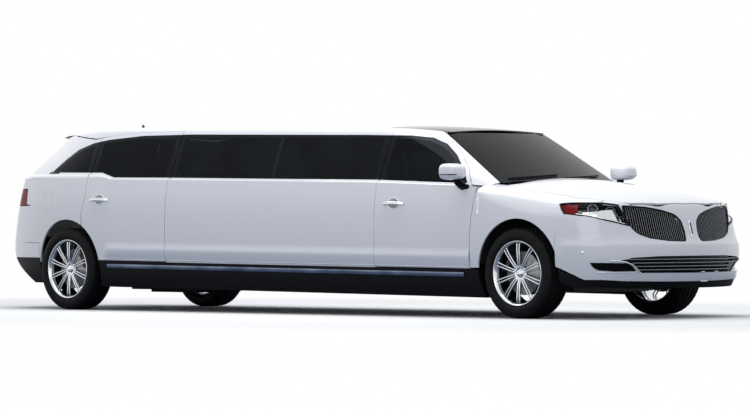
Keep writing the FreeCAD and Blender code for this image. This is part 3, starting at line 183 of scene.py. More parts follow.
def normals_of(grid):
    """Unit normals of a grid of points, pointing away from the middle of the body."""
    across = np.cross(np.gradient(grid, axis=0), np.gradient(grid, axis=1))
    across /= np.maximum(np.linalg.norm(across, axis=2, keepdims=True), 1e-9)
    outward = grid - np.array([0.0, 0.0, 700.0])
    outward[..., 0] = np.where(np.abs(outward[..., 0]) > 2600, outward[..., 0], 0)
    return across * np.sign(np.sum(across * outward, 2).sum())


lower_grid = stacked(LOWER_LEVELS, np.arange(180, 1171, 11))
cabin_grid = stacked(CABIN_LEVELS, np.arange(1000, 1681, 10))
print("grids", lower_grid.shape, cabin_grid.shape)

# %% [markdown]
# ## The crowns of the bonnet and the roof
# A bonnet pressed from sheet is crowned across and rolls over at its edges. Its cross section is one wide arc
# with two smaller shoulder arcs, and the numbers change slowly along the car.

# %% Crown sections
# Columns: x, height on the centre line, crown radius, half width of the crown, shoulder radius.
BONNET_STATIONS = [
    (2250, 1172, 4200, 870, 110), (2600, 1143, 4200, 840, 140), (3000, 1100, 4200, 790, 190),
    (3400, 1046, 4200, 740, 240), (3650, 992, 4000, 680, 300), (3800, 925, 3800, 640, 340),
    (3960, 800, 3600, 600, 380),
]
ROOF_STATIONS = [(x, z, 8000, 690, 60) for x, z in (
    (-3900, 1380), (-3560, 1500), (-3400, 1550), (-3100, 1600), (-2700, 1638), (-1700, 1650),
    (-300, 1630), (700, 1610), (1350, 1590),
    (1700, 1560), (2200, 1490), (2900, 1370))]
SHOULDER_END = math.asin(0.92)


def crown_height(stations, x, y):
    """Height of the crowned surface over each x, y."""
    x, y = np.asarray(x, float), np.abs(np.asarray(y, float))
    weights = spline_weights([s[0] for s in stations], np.clip(x.ravel(), stations[0][0], stations[-1][0]))
    z, radius, half, shoulder = (weights @ np.array([s[i] for s in stations], float) for i in range(1, 5))
    z, radius, half, shoulder = (v.reshape(x.shape) for v in (z, radius, half, shoulder))
    top = z - radius + np.sqrt(np.maximum(radius ** 2 - np.minimum(y, half) ** 2, 0))
    start = half / radius
    sine = np.clip(start + (y - half) / shoulder, start, 0.92)
    drop = shoulder * (np.sqrt(1 - start ** 2) - np.sqrt(1 - sine ** 2))
    reach = half + shoulder * (0.92 - start)
    flare = np.maximum(y - reach, 0) * math.tan(SHOULDER_END)
    return np.where(y > half, top - drop - flare, top)


def over_the_top(grid, stations, inward, inner_steps, outer_steps, soft=16.0):
    """A wall grid carried up to the crowned top, rounded over its edge and on inwards."""
    sections = []
    wall_normals = normals_of(grid)
    for column, normals in zip(grid, wall_normals):
        over = column[:, 2] - crown_height(stations, column[:, 0], column[:, 1])
        k = min(int(np.flatnonzero(over <= 0)[-1]) + 1, len(column) - 1)
        share = np.clip(-over[k - 1] / (over[k] - over[k - 1]), 0, 1)
        edge = column[k - 1] + (column[k] - column[k - 1]) * share
        heading = normals[k, :2] / np.hypot(*normals[k, :2])
        run = np.arange(4.0, inward + 41, 4.0)
        inner = edge[:2] - heading[None, :] * run[:, None]
        inner = np.concatenate([inner, crown_height(stations, inner[:, 0], inner[:, 1])[:, None]], 1)
        wall = np.concatenate([column[:k], edge[None, :]])
        length = np.concatenate([[0], np.cumsum(np.linalg.norm(np.diff(wall, axis=0), axis=1))])
        at = np.arange(length[-1], 0, -4.0)[::-1]
        wall = np.stack([np.interp(at, length, wall[:, c]) for c in range(3)], 1)
        path = np.concatenate([wall, inner])
        kernel = np.exp(-0.5 * (np.arange(-15, 16) * 4.0 / soft) ** 2)
        kernel /= kernel.sum()
        padded = np.concatenate([2 * path[0] - path[15:0:-1], path, 2 * path[-1] - path[-2:-17:-1]])
        path = np.stack([np.convolve(padded[:, c], kernel, "valid") for c in range(3)], 1)
        low = np.linspace(0, len(wall) - 1, outer_steps)
        high = np.linspace(len(wall) - 1, len(path) - 11, inner_steps + 1)[1:]
        at = np.concatenate([low, high])
        sections.append(np.stack([np.interp(at, np.arange(len(path)), path[:, c]) for c in range(3)], 1))
    return np.stack(sections)


front_count = int(np.argmax(lower_grid[:, 50, 0] < 2270))
front_grid = over_the_top(lower_grid[:front_count], BONNET_STATIONS, 300, 34, 84)
house_grid = over_the_top(cabin_grid, ROOF_STATIONS, 260, 26, 60)


def top_grid(stations, x_values, y_values):
    x, y = np.meshgrid(np.asarray(x_values, float), np.asarray(y_values, float), indexing="ij")
    return np.stack([x, y, crown_height(stations, x, y)], 2)


bonnet_grid = top_grid(BONNET_STATIONS, np.arange(2480, 3861, 14), np.arange(-880, 881, 16))
roof_grid = top_grid(ROOF_STATIONS, np.arange(-3120, 1841, 24), np.arange(-660, 661, 20))
print("front", front_grid.shape, "house", house_grid.shape)

# %% [markdown]
# ## Cutting panels out of the skins
# A stamped panel is trimmed to an outline and its edge is folded inwards with a small radius. The outline is
# found on the skin, the inside is filled with the skin's own grid points, and a few rows are added round the
# edge for the fold. The normals come from the skin itself, so light runs smoothly across the whole panel.

# %% Panel tools
def sample(grid, places):
    """Values of a grid at fractional index places."""
    last = np.array(grid.shape[:2]) - 1
    places = np.clip(places, 0, last - 1e-6)
    i, j = places.astype(int).T
    a, b = (places - np.stack([i, j], 1)).T[:, :, None]
    return (grid[i, j] * (1 - a) * (1 - b) + grid[i + 1, j] * a * (1 - b) + grid[i, j + 1] * (1 - a) * b
            + grid[i + 1, j + 1] * a * b)


def on_skin(grid, points, view, ahead_of=None, behind=None):
    """Index places of outline points given as seen from the side (x, z), front (y, z) or above (x, y)."""
    pair = {"side": [0, 2], "front": [1, 2], "plan": [0, 1]}[view]
    flat, points = grid[..., pair], np.asarray(points, float)
    usable = np.ones(grid.shape[:2], bool)
    if ahead_of is not None:
        usable &= grid[..., 0] > ahead_of
    if behind is not None:
        usable &= grid[..., 0] < behind
    nodes = np.argwhere(usable)
    spots = flat[usable]
    places = nodes[[int(np.argmin(((spots - p) ** 2).sum(1))) for p in points]].astype(float)
    for _ in range(14):
        here = sample(flat, places)
        along = (sample(flat, places + [0.5, 0]) - sample(flat, places - [0.5, 0]))
        up = (sample(flat, places + [0, 0.5]) - sample(flat, places - [0, 0.5]))
        miss = points - here
        size = along[:, 0] * up[:, 1] - along[:, 1] * up[:, 0]
        size = np.where(np.abs(size) < 1e-6, 1e-6, size)
        step = np.stack([(miss[:, 0] * up[:, 1] - miss[:, 1] * up[:, 0]) / size,
                         (along[:, 0] * miss[:, 1] - along[:, 1] * miss[:, 0]) / size], 1)
        places = np.clip(places + np.clip(step, -1.5, 1.5), 0, np.array(grid.shape[:2]) - 1)
    return places


def rounded(points, radius, steps=5):
    """Closed outline with its corners rounded, as far as the runs between them allow."""
    points, out = [np.array(p, float) for p in points], []
    points = [p for p, ahead in zip(points, points[1:] + points[:1]) if np.hypot(*(ahead - p)) > 0.5]
    for before, corner, after in zip(points[-1:] + points[:-1], points, points[1:] + points[:1]):
        back, on = before - corner, after - corner
        reach = min(radius, 0.45 * np.hypot(*back), 0.45 * np.hypot(*on))
        start, end = corner + back / np.hypot(*back) * reach, corner + on / np.hypot(*on) * reach
        for t in np.linspace(0, 1, steps):
            out.append(start * (1 - t) ** 2 + corner * 2 * t * (1 - t) + end * t * t)
    return out


def dense(places, longest=0.8):
    """The same loop with more points, none further apart than the given number of grid cells."""
    out = []
    for a, b in zip(places, np.roll(places, -1, axis=0)):
        count = max(1, int(math.ceil(np.hypot(*(b - a)) / longest)))
        out += [a + (b - a) * k / count for k in range(count)]
    return np.array(out)


def inside(points, loop):
    """Which points lie inside a closed loop."""
    a, b = loop, np.roll(loop, -1, axis=0)
    x, y = points[:, 0:1], points[:, 1:2]
    crosses = (a[:, 1] > y) != (b[:, 1] > y)
    rise = np.where(b[:, 1] == a[:, 1], 1e-9, b[:, 1] - a[:, 1])
    return (crosses & (x < (b[:, 0] - a[:, 0]) * (y - a[:, 1]) / rise + a[:, 0])).sum(1) % 2 == 1


def mesh_object(name, points, faces, normals=None, smooth=True):
    """Object from points in millimetres."""
    mesh = bpy.data.meshes.new(name)
    corners = [tuple(p) for p in np.asarray(points, float) * MM]
    mesh.from_pydata(corners, [], [tuple(int(i) for i in f) for f in faces])
    mesh.polygons.foreach_set("use_smooth", [smooth] * len(mesh.polygons))
    if normals is not None:
        mesh.normals_split_custom_set_from_vertices([tuple(n) for n in normals])
    thing = bpy.data.objects.new(name, mesh)
    bpy.context.scene.collection.objects.link(thing)
    return thing


def cut_skin(grid, loops, lift=2.5, fold=1.4, depth=9.0, wall=0.0, every=1):
    """Points, faces and normals of one panel. The first loop is its outline, the others are its holes."""
    loops = [dense(np.asarray(loop, float)) for loop in loops]
    i, j = np.meshgrid(np.arange(0, grid.shape[0], every), np.arange(grid.shape[1]), indexing="ij")
    nodes = np.stack([i.ravel(), j.ravel()], 1).astype(float)
    low, high = loops[0].min(0), loops[0].max(0)
    nodes = nodes[((nodes > low) & (nodes < high)).all(1)]
    keep = inside(nodes, loops[0])
    for hole in loops[1:]:
        keep &= ~inside(nodes, hole)
    nodes = nodes[keep]
    rims = np.concatenate(loops)
    near = np.array([np.min(np.abs(rims - n).max(1)) for n in nodes]) if len(nodes) else np.zeros(0)
    nodes = nodes[near > 0.34]
    flat = np.concatenate([rims, nodes])
    edges, start = [], 0
    for loop in loops:
        ids = np.arange(start, start + len(loop))
        edges += list(zip(ids.tolist(), np.roll(ids, -1).tolist()))
        start += len(loop)
    found = delaunay_2d_cdt([Vector(p) for p in flat], edges, [], 0, 1e-5)
    spots, triangles = np.array([tuple(v) for v in found[0]]), np.array(found[2])
    where = {}
    for new, originals in enumerate(found[3]):
        for old in originals:
            where[old] = new
    middle = spots[triangles].mean(1)
    keep = inside(middle, loops[0])
    for hole in loops[1:]:
        keep &= ~inside(middle, hole)
    triangles = triangles[keep]
    normal_grid = normals_of(grid)
    normals = sample(normal_grid, spots)
    normals /= np.linalg.norm(normals, axis=1, keepdims=True)
    points = sample(grid, spots) + normals * lift
    corner = points[triangles]
    across = np.cross(corner[:, 1] - corner[:, 0], corner[:, 2] - corner[:, 0])
    facing = np.sum(across * normals[triangles[:, 0]], 1)
    triangles[facing < 0] = triangles[facing < 0][:, ::-1]
    faces, points, normals = [tuple(t) for t in triangles], list(points), list(normals)
    skin_count = len(points)
    if wall:
        shift = len(points)
        points += [p - n * wall for p, n in zip(points[:shift], normals[:shift])]
        normals += [-n for n in normals[:shift]]
        faces += [tuple(shift + k for k in face[::-1]) for face in faces]
    start = 0
    for number, loop in enumerate(loops):
        ids = [where[k] for k in range(start, start + len(loop))]
        ids = [k for n, k in enumerate(ids) if k != ids[n - 1]]
        start += len(loop)
        rim, up = np.array([points[k] for k in ids]), np.array([normals[k] for k in ids])
        tangent = np.roll(rim, -1, 0) - np.roll(rim, 1, 0)
        tangent /= np.maximum(np.linalg.norm(tangent, axis=1, keepdims=True), 1e-9)
        out = np.cross(tangent, up)
        turn = np.sum(loop[:, 0] * np.roll(loop[:, 1], -1) - loop[:, 1] * np.roll(loop[:, 0], -1))
        i0, j0 = np.clip(loop.mean(0).astype(int), 1, np.array(grid.shape[:2]) - 2)
        cell = np.cross(grid[i0 + 1, j0] - grid[i0 - 1, j0], grid[i0, j0 + 1] - grid[i0, j0 - 1])
        sign = np.sign(turn) * np.sign(np.dot(cell, normal_grid[i0, j0])) * (1 if number == 0 else -1)
        out = out * sign
        rows, before = [(math.radians(a), 0.0) for a in (45, 90)] + [(math.radians(90), depth)], ids
        for angle, drop in rows if fold else rows[-1:]:
            new = list(range(len(points), len(points) + len(ids)))
            points += list(rim + out * fold * math.sin(angle) - up * (fold * (1 - math.cos(angle)) + drop))
            normals += list(up * math.cos(angle) + out * math.sin(angle))
            for k in range(len(ids)):
                quad = (before[k], before[k - 1], new[k - 1], new[k])
                faces.append(quad if sign > 0 else quad[::-1])
            before = new
        if wall:
            inner = [skin_count + k for k in ids]
            for k in range(len(ids)):
                quad = (before[k], before[k - 1], inner[k - 1], inner[k])
                faces.append(quad if sign > 0 else quad[::-1])
    return np.array(points), faces, np.array(normals)


def flipped(part):
    """The same part on the other side of the car."""
    points, faces, normals = part
    return points * [1, -1, 1], [face[::-1] for face in faces], normals * [1, -1, 1]


def joined(parts):
    points, faces, normals = [], [], []
    for part_points, part_faces, part_normals in parts:
        shift = sum(len(p) for p in points)
        points.append(part_points)
        normals.append(part_normals)
        faces += [tuple(shift + k for k in face) for face in part_faces]
    return np.concatenate(points), faces, np.concatenate(normals)


made = {}


def add_piece(name, part, material, body, smooth=True, slot=None):
    """A finished piece: its mesh, its material and the body it moves with."""
    thing = mesh_object(name, *part, smooth=smooth)
    thing.data.materials.append(material)
    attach(thing, body)
    made[name] = thing
    return thing


print("panel tools ready")

# %% [markdown]
# ## Finishes
# Each material starts from what the real thing is and how its surface was made. Colours are written as sRGB
# hex, the way a paint card gives them, and one function turns them to linear light. The studio is white all
# round, so the dark finishes get a low specular level, which keeps them dark.

# %% Material helpers
def linear(code, alpha=1.0):
    values = [int(code[k:k + 2], 16) / 255 for k in (1, 3, 5)]
    return [v / 12.92 if v <= 0.04045 else ((v + 0.055) / 1.055) ** 2.4 for v in values] + [alpha]


def add_node(tree, kind, settings=None, links=None):
    """Adds a node with its settings and its links, given as {socket: (node, output)}."""
    node = tree.nodes.new(kind)
    for key, value in (settings or {}).items():
        if key == "stops":
            ramp = node.color_ramp.elements
            while len(ramp) < len(value):
                ramp.new(0.5)
            for stop, (place, code) in zip(ramp, value):
                stop.position, stop.color = place, linear(code)
        elif key in node.inputs:
            node.inputs[key].default_value = value
        else:
            setattr(node, key, value)
    for key, (source, output) in (links or {}).items():
        tree.links.new(source.outputs[output], node.inputs[key])
    return node


def new_material(name, **surface):
    """Material with a Principled shader. Surface keys are its sockets, with _ for a space."""
    material = bpy.data.materials.new(name)
    material.use_nodes = True
    tree = material.node_tree
    shader = tree.nodes["Principled BSDF"]
    for key, value in surface.items():
        shader.inputs[key.replace("_", " ")].default_value = value
    place = add_node(tree, "ShaderNodeTexCoord")
    return material, tree, shader, place


def patterned(name, texture, settings, output, stops, bump=None, **surface):
    """Material whose colour runs between two stops over a texture, which may also drive a bump."""
    material, tree, shader, place = new_material(name, **surface)
    pattern = add_node(tree, texture, settings, {"Vector": (place, "Object")})
    tint = add_node(tree, "ShaderNodeValToRGB", {"stops": stops}, {"Fac": (pattern, output)})
    tree.links.new(tint.outputs["Color"], shader.inputs["Base Color"])
    if bump:
        strength, distance = bump
        relief = add_node(tree, "ShaderNodeBump", {"Strength": strength, "Distance": distance},
                          {"Height": (pattern, output)})
        tree.links.new(relief.outputs["Normal"], shader.inputs["Normal"])
    return material


# Pearl white car paint, sprayed: base coat with fine mica under a polished clear coat. The mica gives a faint
# lavender shift, and the sprayed coat has orange peel about 4 mm across.
pearl_paint, tree, shader, place = new_material(
    "pearl_white_paint", Roughness=0.32, Metallic=0.0, IOR=1.5, Coat_Weight=1.0, Coat_Roughness=0.025,
    Coat_IOR=1.5)
mica = add_node(tree, "ShaderNodeTexNoise", {"Scale": 650.0, "Detail": 2.0}, {"Vector": (place, "Object")})
tint = add_node(tree, "ShaderNodeValToRGB", {"stops": [(0.35, "#E3E4EC"), (0.65, "#EFF0F4")]},
                {"Fac": (mica, "Fac")})
peel = add_node(tree, "ShaderNodeTexNoise", {"Scale": 130.0, "Detail": 1.0}, {"Vector": (place, "Object")})
bump = add_node(tree, "ShaderNodeBump", {"Strength": 0.012, "Distance": 0.001}, {"Height": (peel, "Fac")})
tree.links.new(tint.outputs["Color"], shader.inputs["Base Color"])
tree.links.new(bump.outputs["Normal"], shader.inputs["Coat Normal"])

# Privacy glass: body-tinted float glass, nearly black, fire-polished smooth. A faint blue shows in it.
privacy_glass = patterned("privacy_glass", "ShaderNodeTexNoise", {"Scale": 1.6, "Detail": 2.0}, "Fac",
                          [(0.3, "#04070C"), (0.75, "#0E141C")],
                          Roughness=0.01, IOR=1.52, Alpha=0.96, Specular_IOR_Level=0.05)

# Laminated windscreen: clear glass, drawn dark because the unlit cabin lies behind it.
screen_glass = patterned("laminated_glass", "ShaderNodeTexNoise", {"Scale": 2.0}, "Fac",
                         [(0.3, "#070B0E"), (0.8, "#10171B")],
                         Roughness=0.01, IOR=1.52, Alpha=0.86, Specular_IOR_Level=0.1)

# Gloss black trim: moulded ABS with a clear coat, as on shrouds and lamp rims.
gloss_black = patterned("gloss_black_abs", "ShaderNodeTexNoise", {"Scale": 300.0}, "Fac",
                        [(0.3, "#090A0C"), (0.7, "#101216")],
                        Roughness=0.12, IOR=1.5, Specular_IOR_Level=0.08)

# Dark chrome: thin chrome over a smoked base coat, as on window frames; nearly black, with a trace of blue.
dark_chrome = patterned("smoked_chrome", "ShaderNodeTexNoise", {"Scale": 3.0}, "Fac",
                        [(0.3, "#06080D"), (0.7, "#10151F")], Metallic=0.85, Roughness=0.18)

# Chrome plate on moulded plastic: bright metal with the slight waviness of the moulding under it.
chrome, tree, shader, place = new_material("chrome_plate", Metallic=1.0, Base_Color=linear("#DDE0E4"),
                                           Roughness=0.07)
wave = add_node(tree, "ShaderNodeTexNoise", {"Scale": 30.0}, {"Vector": (place, "Object")})
bump = add_node(tree, "ShaderNodeBump", {"Strength": 0.03, "Distance": 0.001}, {"Height": (wave, "Fac")})
tree.links.new(bump.outputs["Normal"], shader.inputs["Normal"])

# Satin bars: anodised aluminium, drawn, so fine lines about 1 mm apart run along them.
satin_bar = patterned("anodised_drawn_aluminium", "ShaderNodeTexWave",
                      {"Scale": 160.0, "bands_direction": "Z"}, "Fac",
                      [(0.2, "#6E7278"), (0.8, "#8C9096")], Metallic=1.0, Roughness=0.25)

# Projector lens: pressed glass, thick and clear with a blue edge.
lamp_glass = patterned("pressed_lens_glass", "ShaderNodeTexNoise", {"Scale": 60.0}, "Fac",
                       [(0.3, "#27303A"), (0.7, "#5E7080")], Roughness=0.01, IOR=1.52, Metallic=0.2)

# Sill strip: bright rolled aluminium; its blue-grey colour is a painted reflection of the cool surroundings low on
# the car.
sill_metal_painted_reflection = patterned("rolled_aluminium_painted_reflection", "ShaderNodeTexNoise", {"Scale": 4.0}, "Fac",
                        [(0.3, "#566378"), (0.7, "#8591A4")], Metallic=1.0, Roughness=0.2)

# Handle cup: the body paint inside a deep cup, which always looks greyer because little light gets in.
cup_shade = patterned("painted_handle_cup", "ShaderNodeTexNoise", {"Scale": 8.0}, "Fac",
                      [(0.3, "#8C929C"), (0.7, "#B4BAC4")], Roughness=0.3, IOR=1.5)

# Blank plate: painted aluminium sheet with nothing on it.
plate_sheet = patterned("painted_plate_sheet", "ShaderNodeTexNoise", {"Scale": 200.0}, "Fac",
                        [(0.3, "#C9CACA"), (0.7, "#D6D7D7")], Roughness=0.4, IOR=1.5)

# Dark cladding: moulded polypropylene with a fine grain of about 1 mm.
cladding = patterned("grained_polypropylene", "ShaderNodeTexVoronoi", {"Scale": 900.0}, "Distance",
                     [(0.0, "#0B0C0E"), (1.0, "#17181B")], bump=(0.25, 0.0004),
                     Roughness=0.5, IOR=1.49, Specular_IOR_Level=0.1)

# Underbody: steel under sprayed sealer, dull black with a coarse stipple of about 5 mm.
sealer = patterned("sprayed_underbody_sealer", "ShaderNodeTexNoise", {"Scale": 200.0, "Detail": 3.0}, "Fac",
                   [(0.3, "#0A0A0B"), (0.7, "#191A1C")], bump=(0.5, 0.002), Roughness=0.75, IOR=1.5)

# Tyre rubber: moulded, carbon black, slightly greyed where dust sits in the mould texture.
rubber, tree, shader, place = new_material("moulded_tyre_rubber", Roughness=0.62, IOR=1.52,
                                           Specular_IOR_Level=0.12)
dust = add_node(tree, "ShaderNodeTexNoise", {"Scale": 14.0, "Detail": 5.0}, {"Vector": (place, "Object")})
tint = add_node(tree, "ShaderNodeValToRGB", {"stops": [(0.3, "#0B0B0C"), (0.75, "#1A1A1B")]},
                {"Fac": (dust, "Fac")})
fine = add_node(tree, "ShaderNodeTexNoise", {"Scale": 500.0}, {"Vector": (place, "Object")})
bump = add_node(tree, "ShaderNodeBump", {"Strength": 0.2, "Distance": 0.0005}, {"Height": (fine, "Fac")})
tree.links.new(tint.outputs["Color"], shader.inputs["Base Color"])
tree.links.new(bump.outputs["Normal"], shader.inputs["Normal"])

# Bare castings: sand-cast iron, matt grey with a rough skin of about 2 mm.
cast_iron = patterned("sand_cast_iron", "ShaderNodeTexNoise", {"Scale": 400.0, "Detail": 4.0}, "Fac",
                      [(0.3, "#3A3A3C"), (0.7, "#5A5A5C")], Metallic=1.0, Roughness=0.6)

# Turned brake disc: grey iron cut on a lathe, so fine rings about 1 mm apart run round it.
turned_iron = patterned("turned_disc_iron", "ShaderNodeTexNoise", {"Scale": 260.0}, "Fac",
                        [(0.3, "#7C7E80"), (0.7, "#9A9C9F")], Metallic=1.0, Roughness=0.34)

# Exhaust: aluminised steel tube, dull silver browned by heat.
exhaust_steel = patterned("aluminised_steel", "ShaderNodeTexNoise", {"Scale": 6.0, "Detail": 3.0}, "Fac",
                          [(0.3, "#6A6256"), (0.7, "#9A958C")], Metallic=1.0, Roughness=0.38)

# Seat leather: dyed and embossed hide, with a grain about 1.5 mm across.
leather = patterned("embossed_leather", "ShaderNodeTexVoronoi", {"Scale": 650.0}, "Distance",
                    [(0.0, "#0C0C0D"), (1.0, "#222224")], bump=(0.35, 0.0006),
                    Roughness=0.45, IOR=1.5, Sheen_Weight=0.15)

# Cabin trim: slush-moulded soft plastic, dark grey.
trim_plastic = patterned("moulded_cabin_trim", "ShaderNodeTexVoronoi", {"Scale": 700.0}, "Distance",
                         [(0.0, "#141416"), (1.0, "#28282B")], Roughness=0.6, IOR=1.5)

# Lamp glass: injection-moulded clear polycarbonate.
lamp_clear, tree, shader, place = new_material("clear_polycarbonate", Roughness=0.02, IOR=1.58, Alpha=0.07,
                                               Base_Color=linear("#20262C"))
flow = add_node(tree, "ShaderNodeTexNoise", {"Scale": 20.0}, {"Vector": (place, "Object")})
bump = add_node(tree, "ShaderNodeBump", {"Strength": 0.02, "Distance": 0.001}, {"Height": (flow, "Fac")})
tree.links.new(bump.outputs["Normal"], shader.inputs["Normal"])

# Red lamp glass: the same plastic dyed through, over a ribbed back.
lamp_red = patterned("red_polycarbonate", "ShaderNodeTexWave", {"Scale": 60.0, "bands_direction": "Z"}, "Fac",
                     [(0.2, "#5E0206"), (0.8, "#9A0810")],
                     Roughness=0.06, IOR=1.58, Specular_IOR_Level=0.06)
print(len(bpy.data.materials), "materials")

# %% [markdown]
# ## Lines of the body sides
# The shut lines are drawn on the side view, as on a body drawing: the belt under the windows, the window
# tops, the sill and the door edges. Every panel and every pane takes its outline from these few lines.

# %% Side lines
BELT_LINE = [(-2950, 1222), (-2310, 1214), (-2140, 1170), (-1450, 1162), (1180, 1120), (2200, 1083)]
WINDOW_TOP = [
    (-3105, 1233), (-2927, 1362), (-2773, 1447), (-2553, 1504), (-2337, 1532), (-1908, 1560), (-1279, 1562),
    (867, 1524), (1422, 1510), (1640, 1490), (1800, 1436), (1955, 1340), (2110, 1205), (2200, 1093),
]
FRAME_WIDTH, PANEL_GAP, ROOF_GAP, HINGE_GAP = 22.0, 7.0, 10.0, 9.0
FRONT_DOOR_EDGE = [(2298, 380), (2304, 649), (2323, 825), (2351, 1000), (2352, 1150)]
REAR_DOOR_EDGE = [(-2502, 380), (-2502, 846), (-2488, 908), (-2460, 1015), (-2452, 1250)]
FRONT_DOOR_REAR, REAR_DOOR_FRONT = 1214.0, -1391.0
FRONT_AXLE, REAR_AXLE, ARCH_Z = 2820.0, -2715.0, 378.5
FRONT_ARCH = (FRONT_AXLE + 8, ARCH_Z, 436.0)
REAR_ARCH = (REAR_AXLE + 2, ARCH_Z, 438.0)


def height_on(line, x):
    xs, zs = zip(*line)
    return float(np.interp(x, xs, zs))


def stretch_of(line, low_x, high_x):
    inner = [p for p in line if low_x < p[0] < high_x]
    return [(low_x, height_on(line, low_x))] + inner + [(high_x, height_on(line, high_x))]


def lifted(line, rise):
    return [(x, z + rise) for x, z in line]


def moved_out(line, distance):
    """Side-view line moved up and out by a distance, square to itself."""
    points = np.array(line, float)
    run = np.gradient(points, axis=0)
    run /= np.linalg.norm(run, axis=1, keepdims=True)
    return [tuple(p) for p in points + np.stack([-run[:, 1], run[:, 0]], 1) * distance]


FRAME_TOP = moved_out(WINDOW_TOP, FRAME_WIDTH)
SILL = [(x, 436 - x * 0.01) for x in (-3600, 3600)]


def arch_points(arch, low_z, swell=0.0, steps=40):
    """Points over a wheel arch, from its rear foot over the top to its front foot."""
    x, z, radius = arch[0], arch[1], arch[2] + swell
    foot = math.asin((low_z - z) / radius)
    turns = np.linspace(foot, math.pi - foot, steps)
    return [(x - radius * math.cos(a), z + radius * math.sin(a)) for a in turns]


def trace(grid, outline, view="side", longest=30.0, closed=True, **where):
    """Index places along an outline, with points close enough together to follow the skin."""
    points = [np.array(p, float) for p in outline]
    out = []
    for a, b in zip(points, points[1:] + (points[:1] if closed else [])):
        count = max(1, int(math.ceil(np.hypot(*(b - a)) / longest)))
        out += [a + (b - a) * k / count for k in range(count)]
    if not closed:
        out.append(points[-1])
    return on_skin(grid, out, view, **where)


# %% [markdown]
# ## Character line
# Below the middle of the doors the metal turns out to a ledge that catches the light, then tucks in under it.
# It is pressed a few millimetres proud of the flat side and fades out before the wheel arches, so it is added
# to the skin before the panels are cut.

# %% Press the ledge into the side skin
def ledge(x, z):
    """How far the pressing stands out of the side, in millimetres."""
    level = z + 0.01 * x
    along = np.clip((x + 2215) / 90, 0, 1) * np.clip((2420 - x) / 70, 0, 1)
    along = along * along * (3 - 2 * along)
    above, below = np.clip((592 - level) / 55, 0, 1), np.clip((537 - level) / 110, 0, 1)
    return along * 15.0 * np.where(level > 537, above ** 1.5, 1 - below ** 2)


def nose_bulge(z):
    """How far the bumper face stands out under its crease."""
    level = np.clip((680 - z) / 82, 0, 1)
    return np.where(z > 598, 14.0 * level ** 2, 14.0 - np.clip((598 - z) / 300, 0, 1) * 10.0)


side_normals = normals_of(lower_grid)
side_grid = lower_grid + side_normals * ledge(lower_grid[..., 0], lower_grid[..., 2])[..., None]
front_rows = front_grid[..., 2]
ahead = np.clip((front_grid[..., 0] - 3235) / 120, 0, 1)[..., None]
front_grid = front_grid + normals_of(front_grid) * nose_bulge(front_rows)[..., None] * ahead
nose_grid = np.concatenate([front_grid[:0:-1] * [1, -1, 1], front_grid])
tail_grid = np.concatenate([side_grid[200:], side_grid[-2:199:-1] * [1, -1, 1]])
house_front = np.concatenate([house_grid[140:0:-1] * [1, -1, 1], house_grid[:141]])
house_tail = np.concatenate([house_grid[200:], house_grid[-2:199:-1] * [1, -1, 1]])

# %% [markdown]
# ## Painted panels
# Doors, wings, quarters and the bonnet are each trimmed from the skin with a fold round the edge. The doors
# keep their engineering parts as the inner case, and the others are hidden and replaced by a closed sheet.

# %% Lower side panels
front_door_outline = stretch_of(SILL, FRONT_DOOR_REAR, 2300) + FRONT_DOOR_EDGE[1:4] + [(2352, 1074)] \
    + stretch_of(BELT_LINE, FRONT_DOOR_REAR, 2200)[::-1]
stretch_outline = stretch_of(SILL, REAR_DOOR_FRONT + HINGE_GAP, FRONT_DOOR_REAR - PANEL_GAP) \
    + stretch_of(BELT_LINE, REAR_DOOR_FRONT + HINGE_GAP, FRONT_DOOR_REAR - PANEL_GAP)[::-1]
arch_edge = [p for p in arch_points(REAR_ARCH, 448) if -2502 < p[0] and p[0] > REAR_AXLE]
rear_door_outline = [(REAR_DOOR_FRONT, height_on(SILL, REAR_DOOR_FRONT))] \
    + stretch_of(BELT_LINE, -2453, REAR_DOOR_FRONT)[::-1] + REAR_DOOR_EDGE[3:0:-1] \
    + arch_edge + [(-2290, 459)]
sides = {}
for name, outline in (("front_door", front_door_outline), ("stretch_panel", stretch_outline),
                      ("rear_door", rear_door_outline)):
    loop = trace(side_grid, rounded(outline, 14))
    sides[name] = cut_skin(side_grid, [loop])
for side_name, turn in (("left", lambda part: part), ("right", flipped)):
    for name in ("front_door", "rear_door"):
        add_piece(f"{name}_skin_{side_name}", turn(sides[name]), pearl_paint, f"{name}_{side_name}")
    add_piece(f"stretch_skin_{side_name}", turn(sides["stretch_panel"]), pearl_paint, "body")
print("door skins", {name: len(part[1]) for name, part in sides.items()})

# %% [markdown]
# ## Nose and wings
# The wings, the bumper cover and the bonnet are three pressings that meet round the headlamps. Their edges are
# given on the side view, on the front view or from above, whichever shows that edge best, and all of them are
# turned into places on one skin, so the gaps between the panels stay even.

# %% Outlines over the nose
BONNET_EDGE = [(2535, 735), (2900, 800), (3350, 790), (3600, 690), (3705, 560), (3775, 300), (3790, 0)]
BONNET_REAR = [(2602, 0), (2596, 400), (2580, 640)]


def run_of(grid, *stretches, crown=80, longest=30.0, **where):
    """Places along an open run over a grid. Each stretch has its view, and plan views mean the crown rows."""
    runs = []
    for view, points in stretches:
        first = crown if view == "plan" else 0
        runs.append(trace(grid[:, first:], points, view, longest, closed=False, **where) + [0, first])
    return np.concatenate(runs)


def on_right(loop, centre):
    """The mirror image of an index loop on a grid that covers both sides."""
    return loop[::-1] * [-1, 1] + [2 * centre, 0]


def both_halves(half, centre):
    """An index loop that starts and ends on the centre line, completed with its mirror image."""
    return np.concatenate([half, on_right(half, centre)])


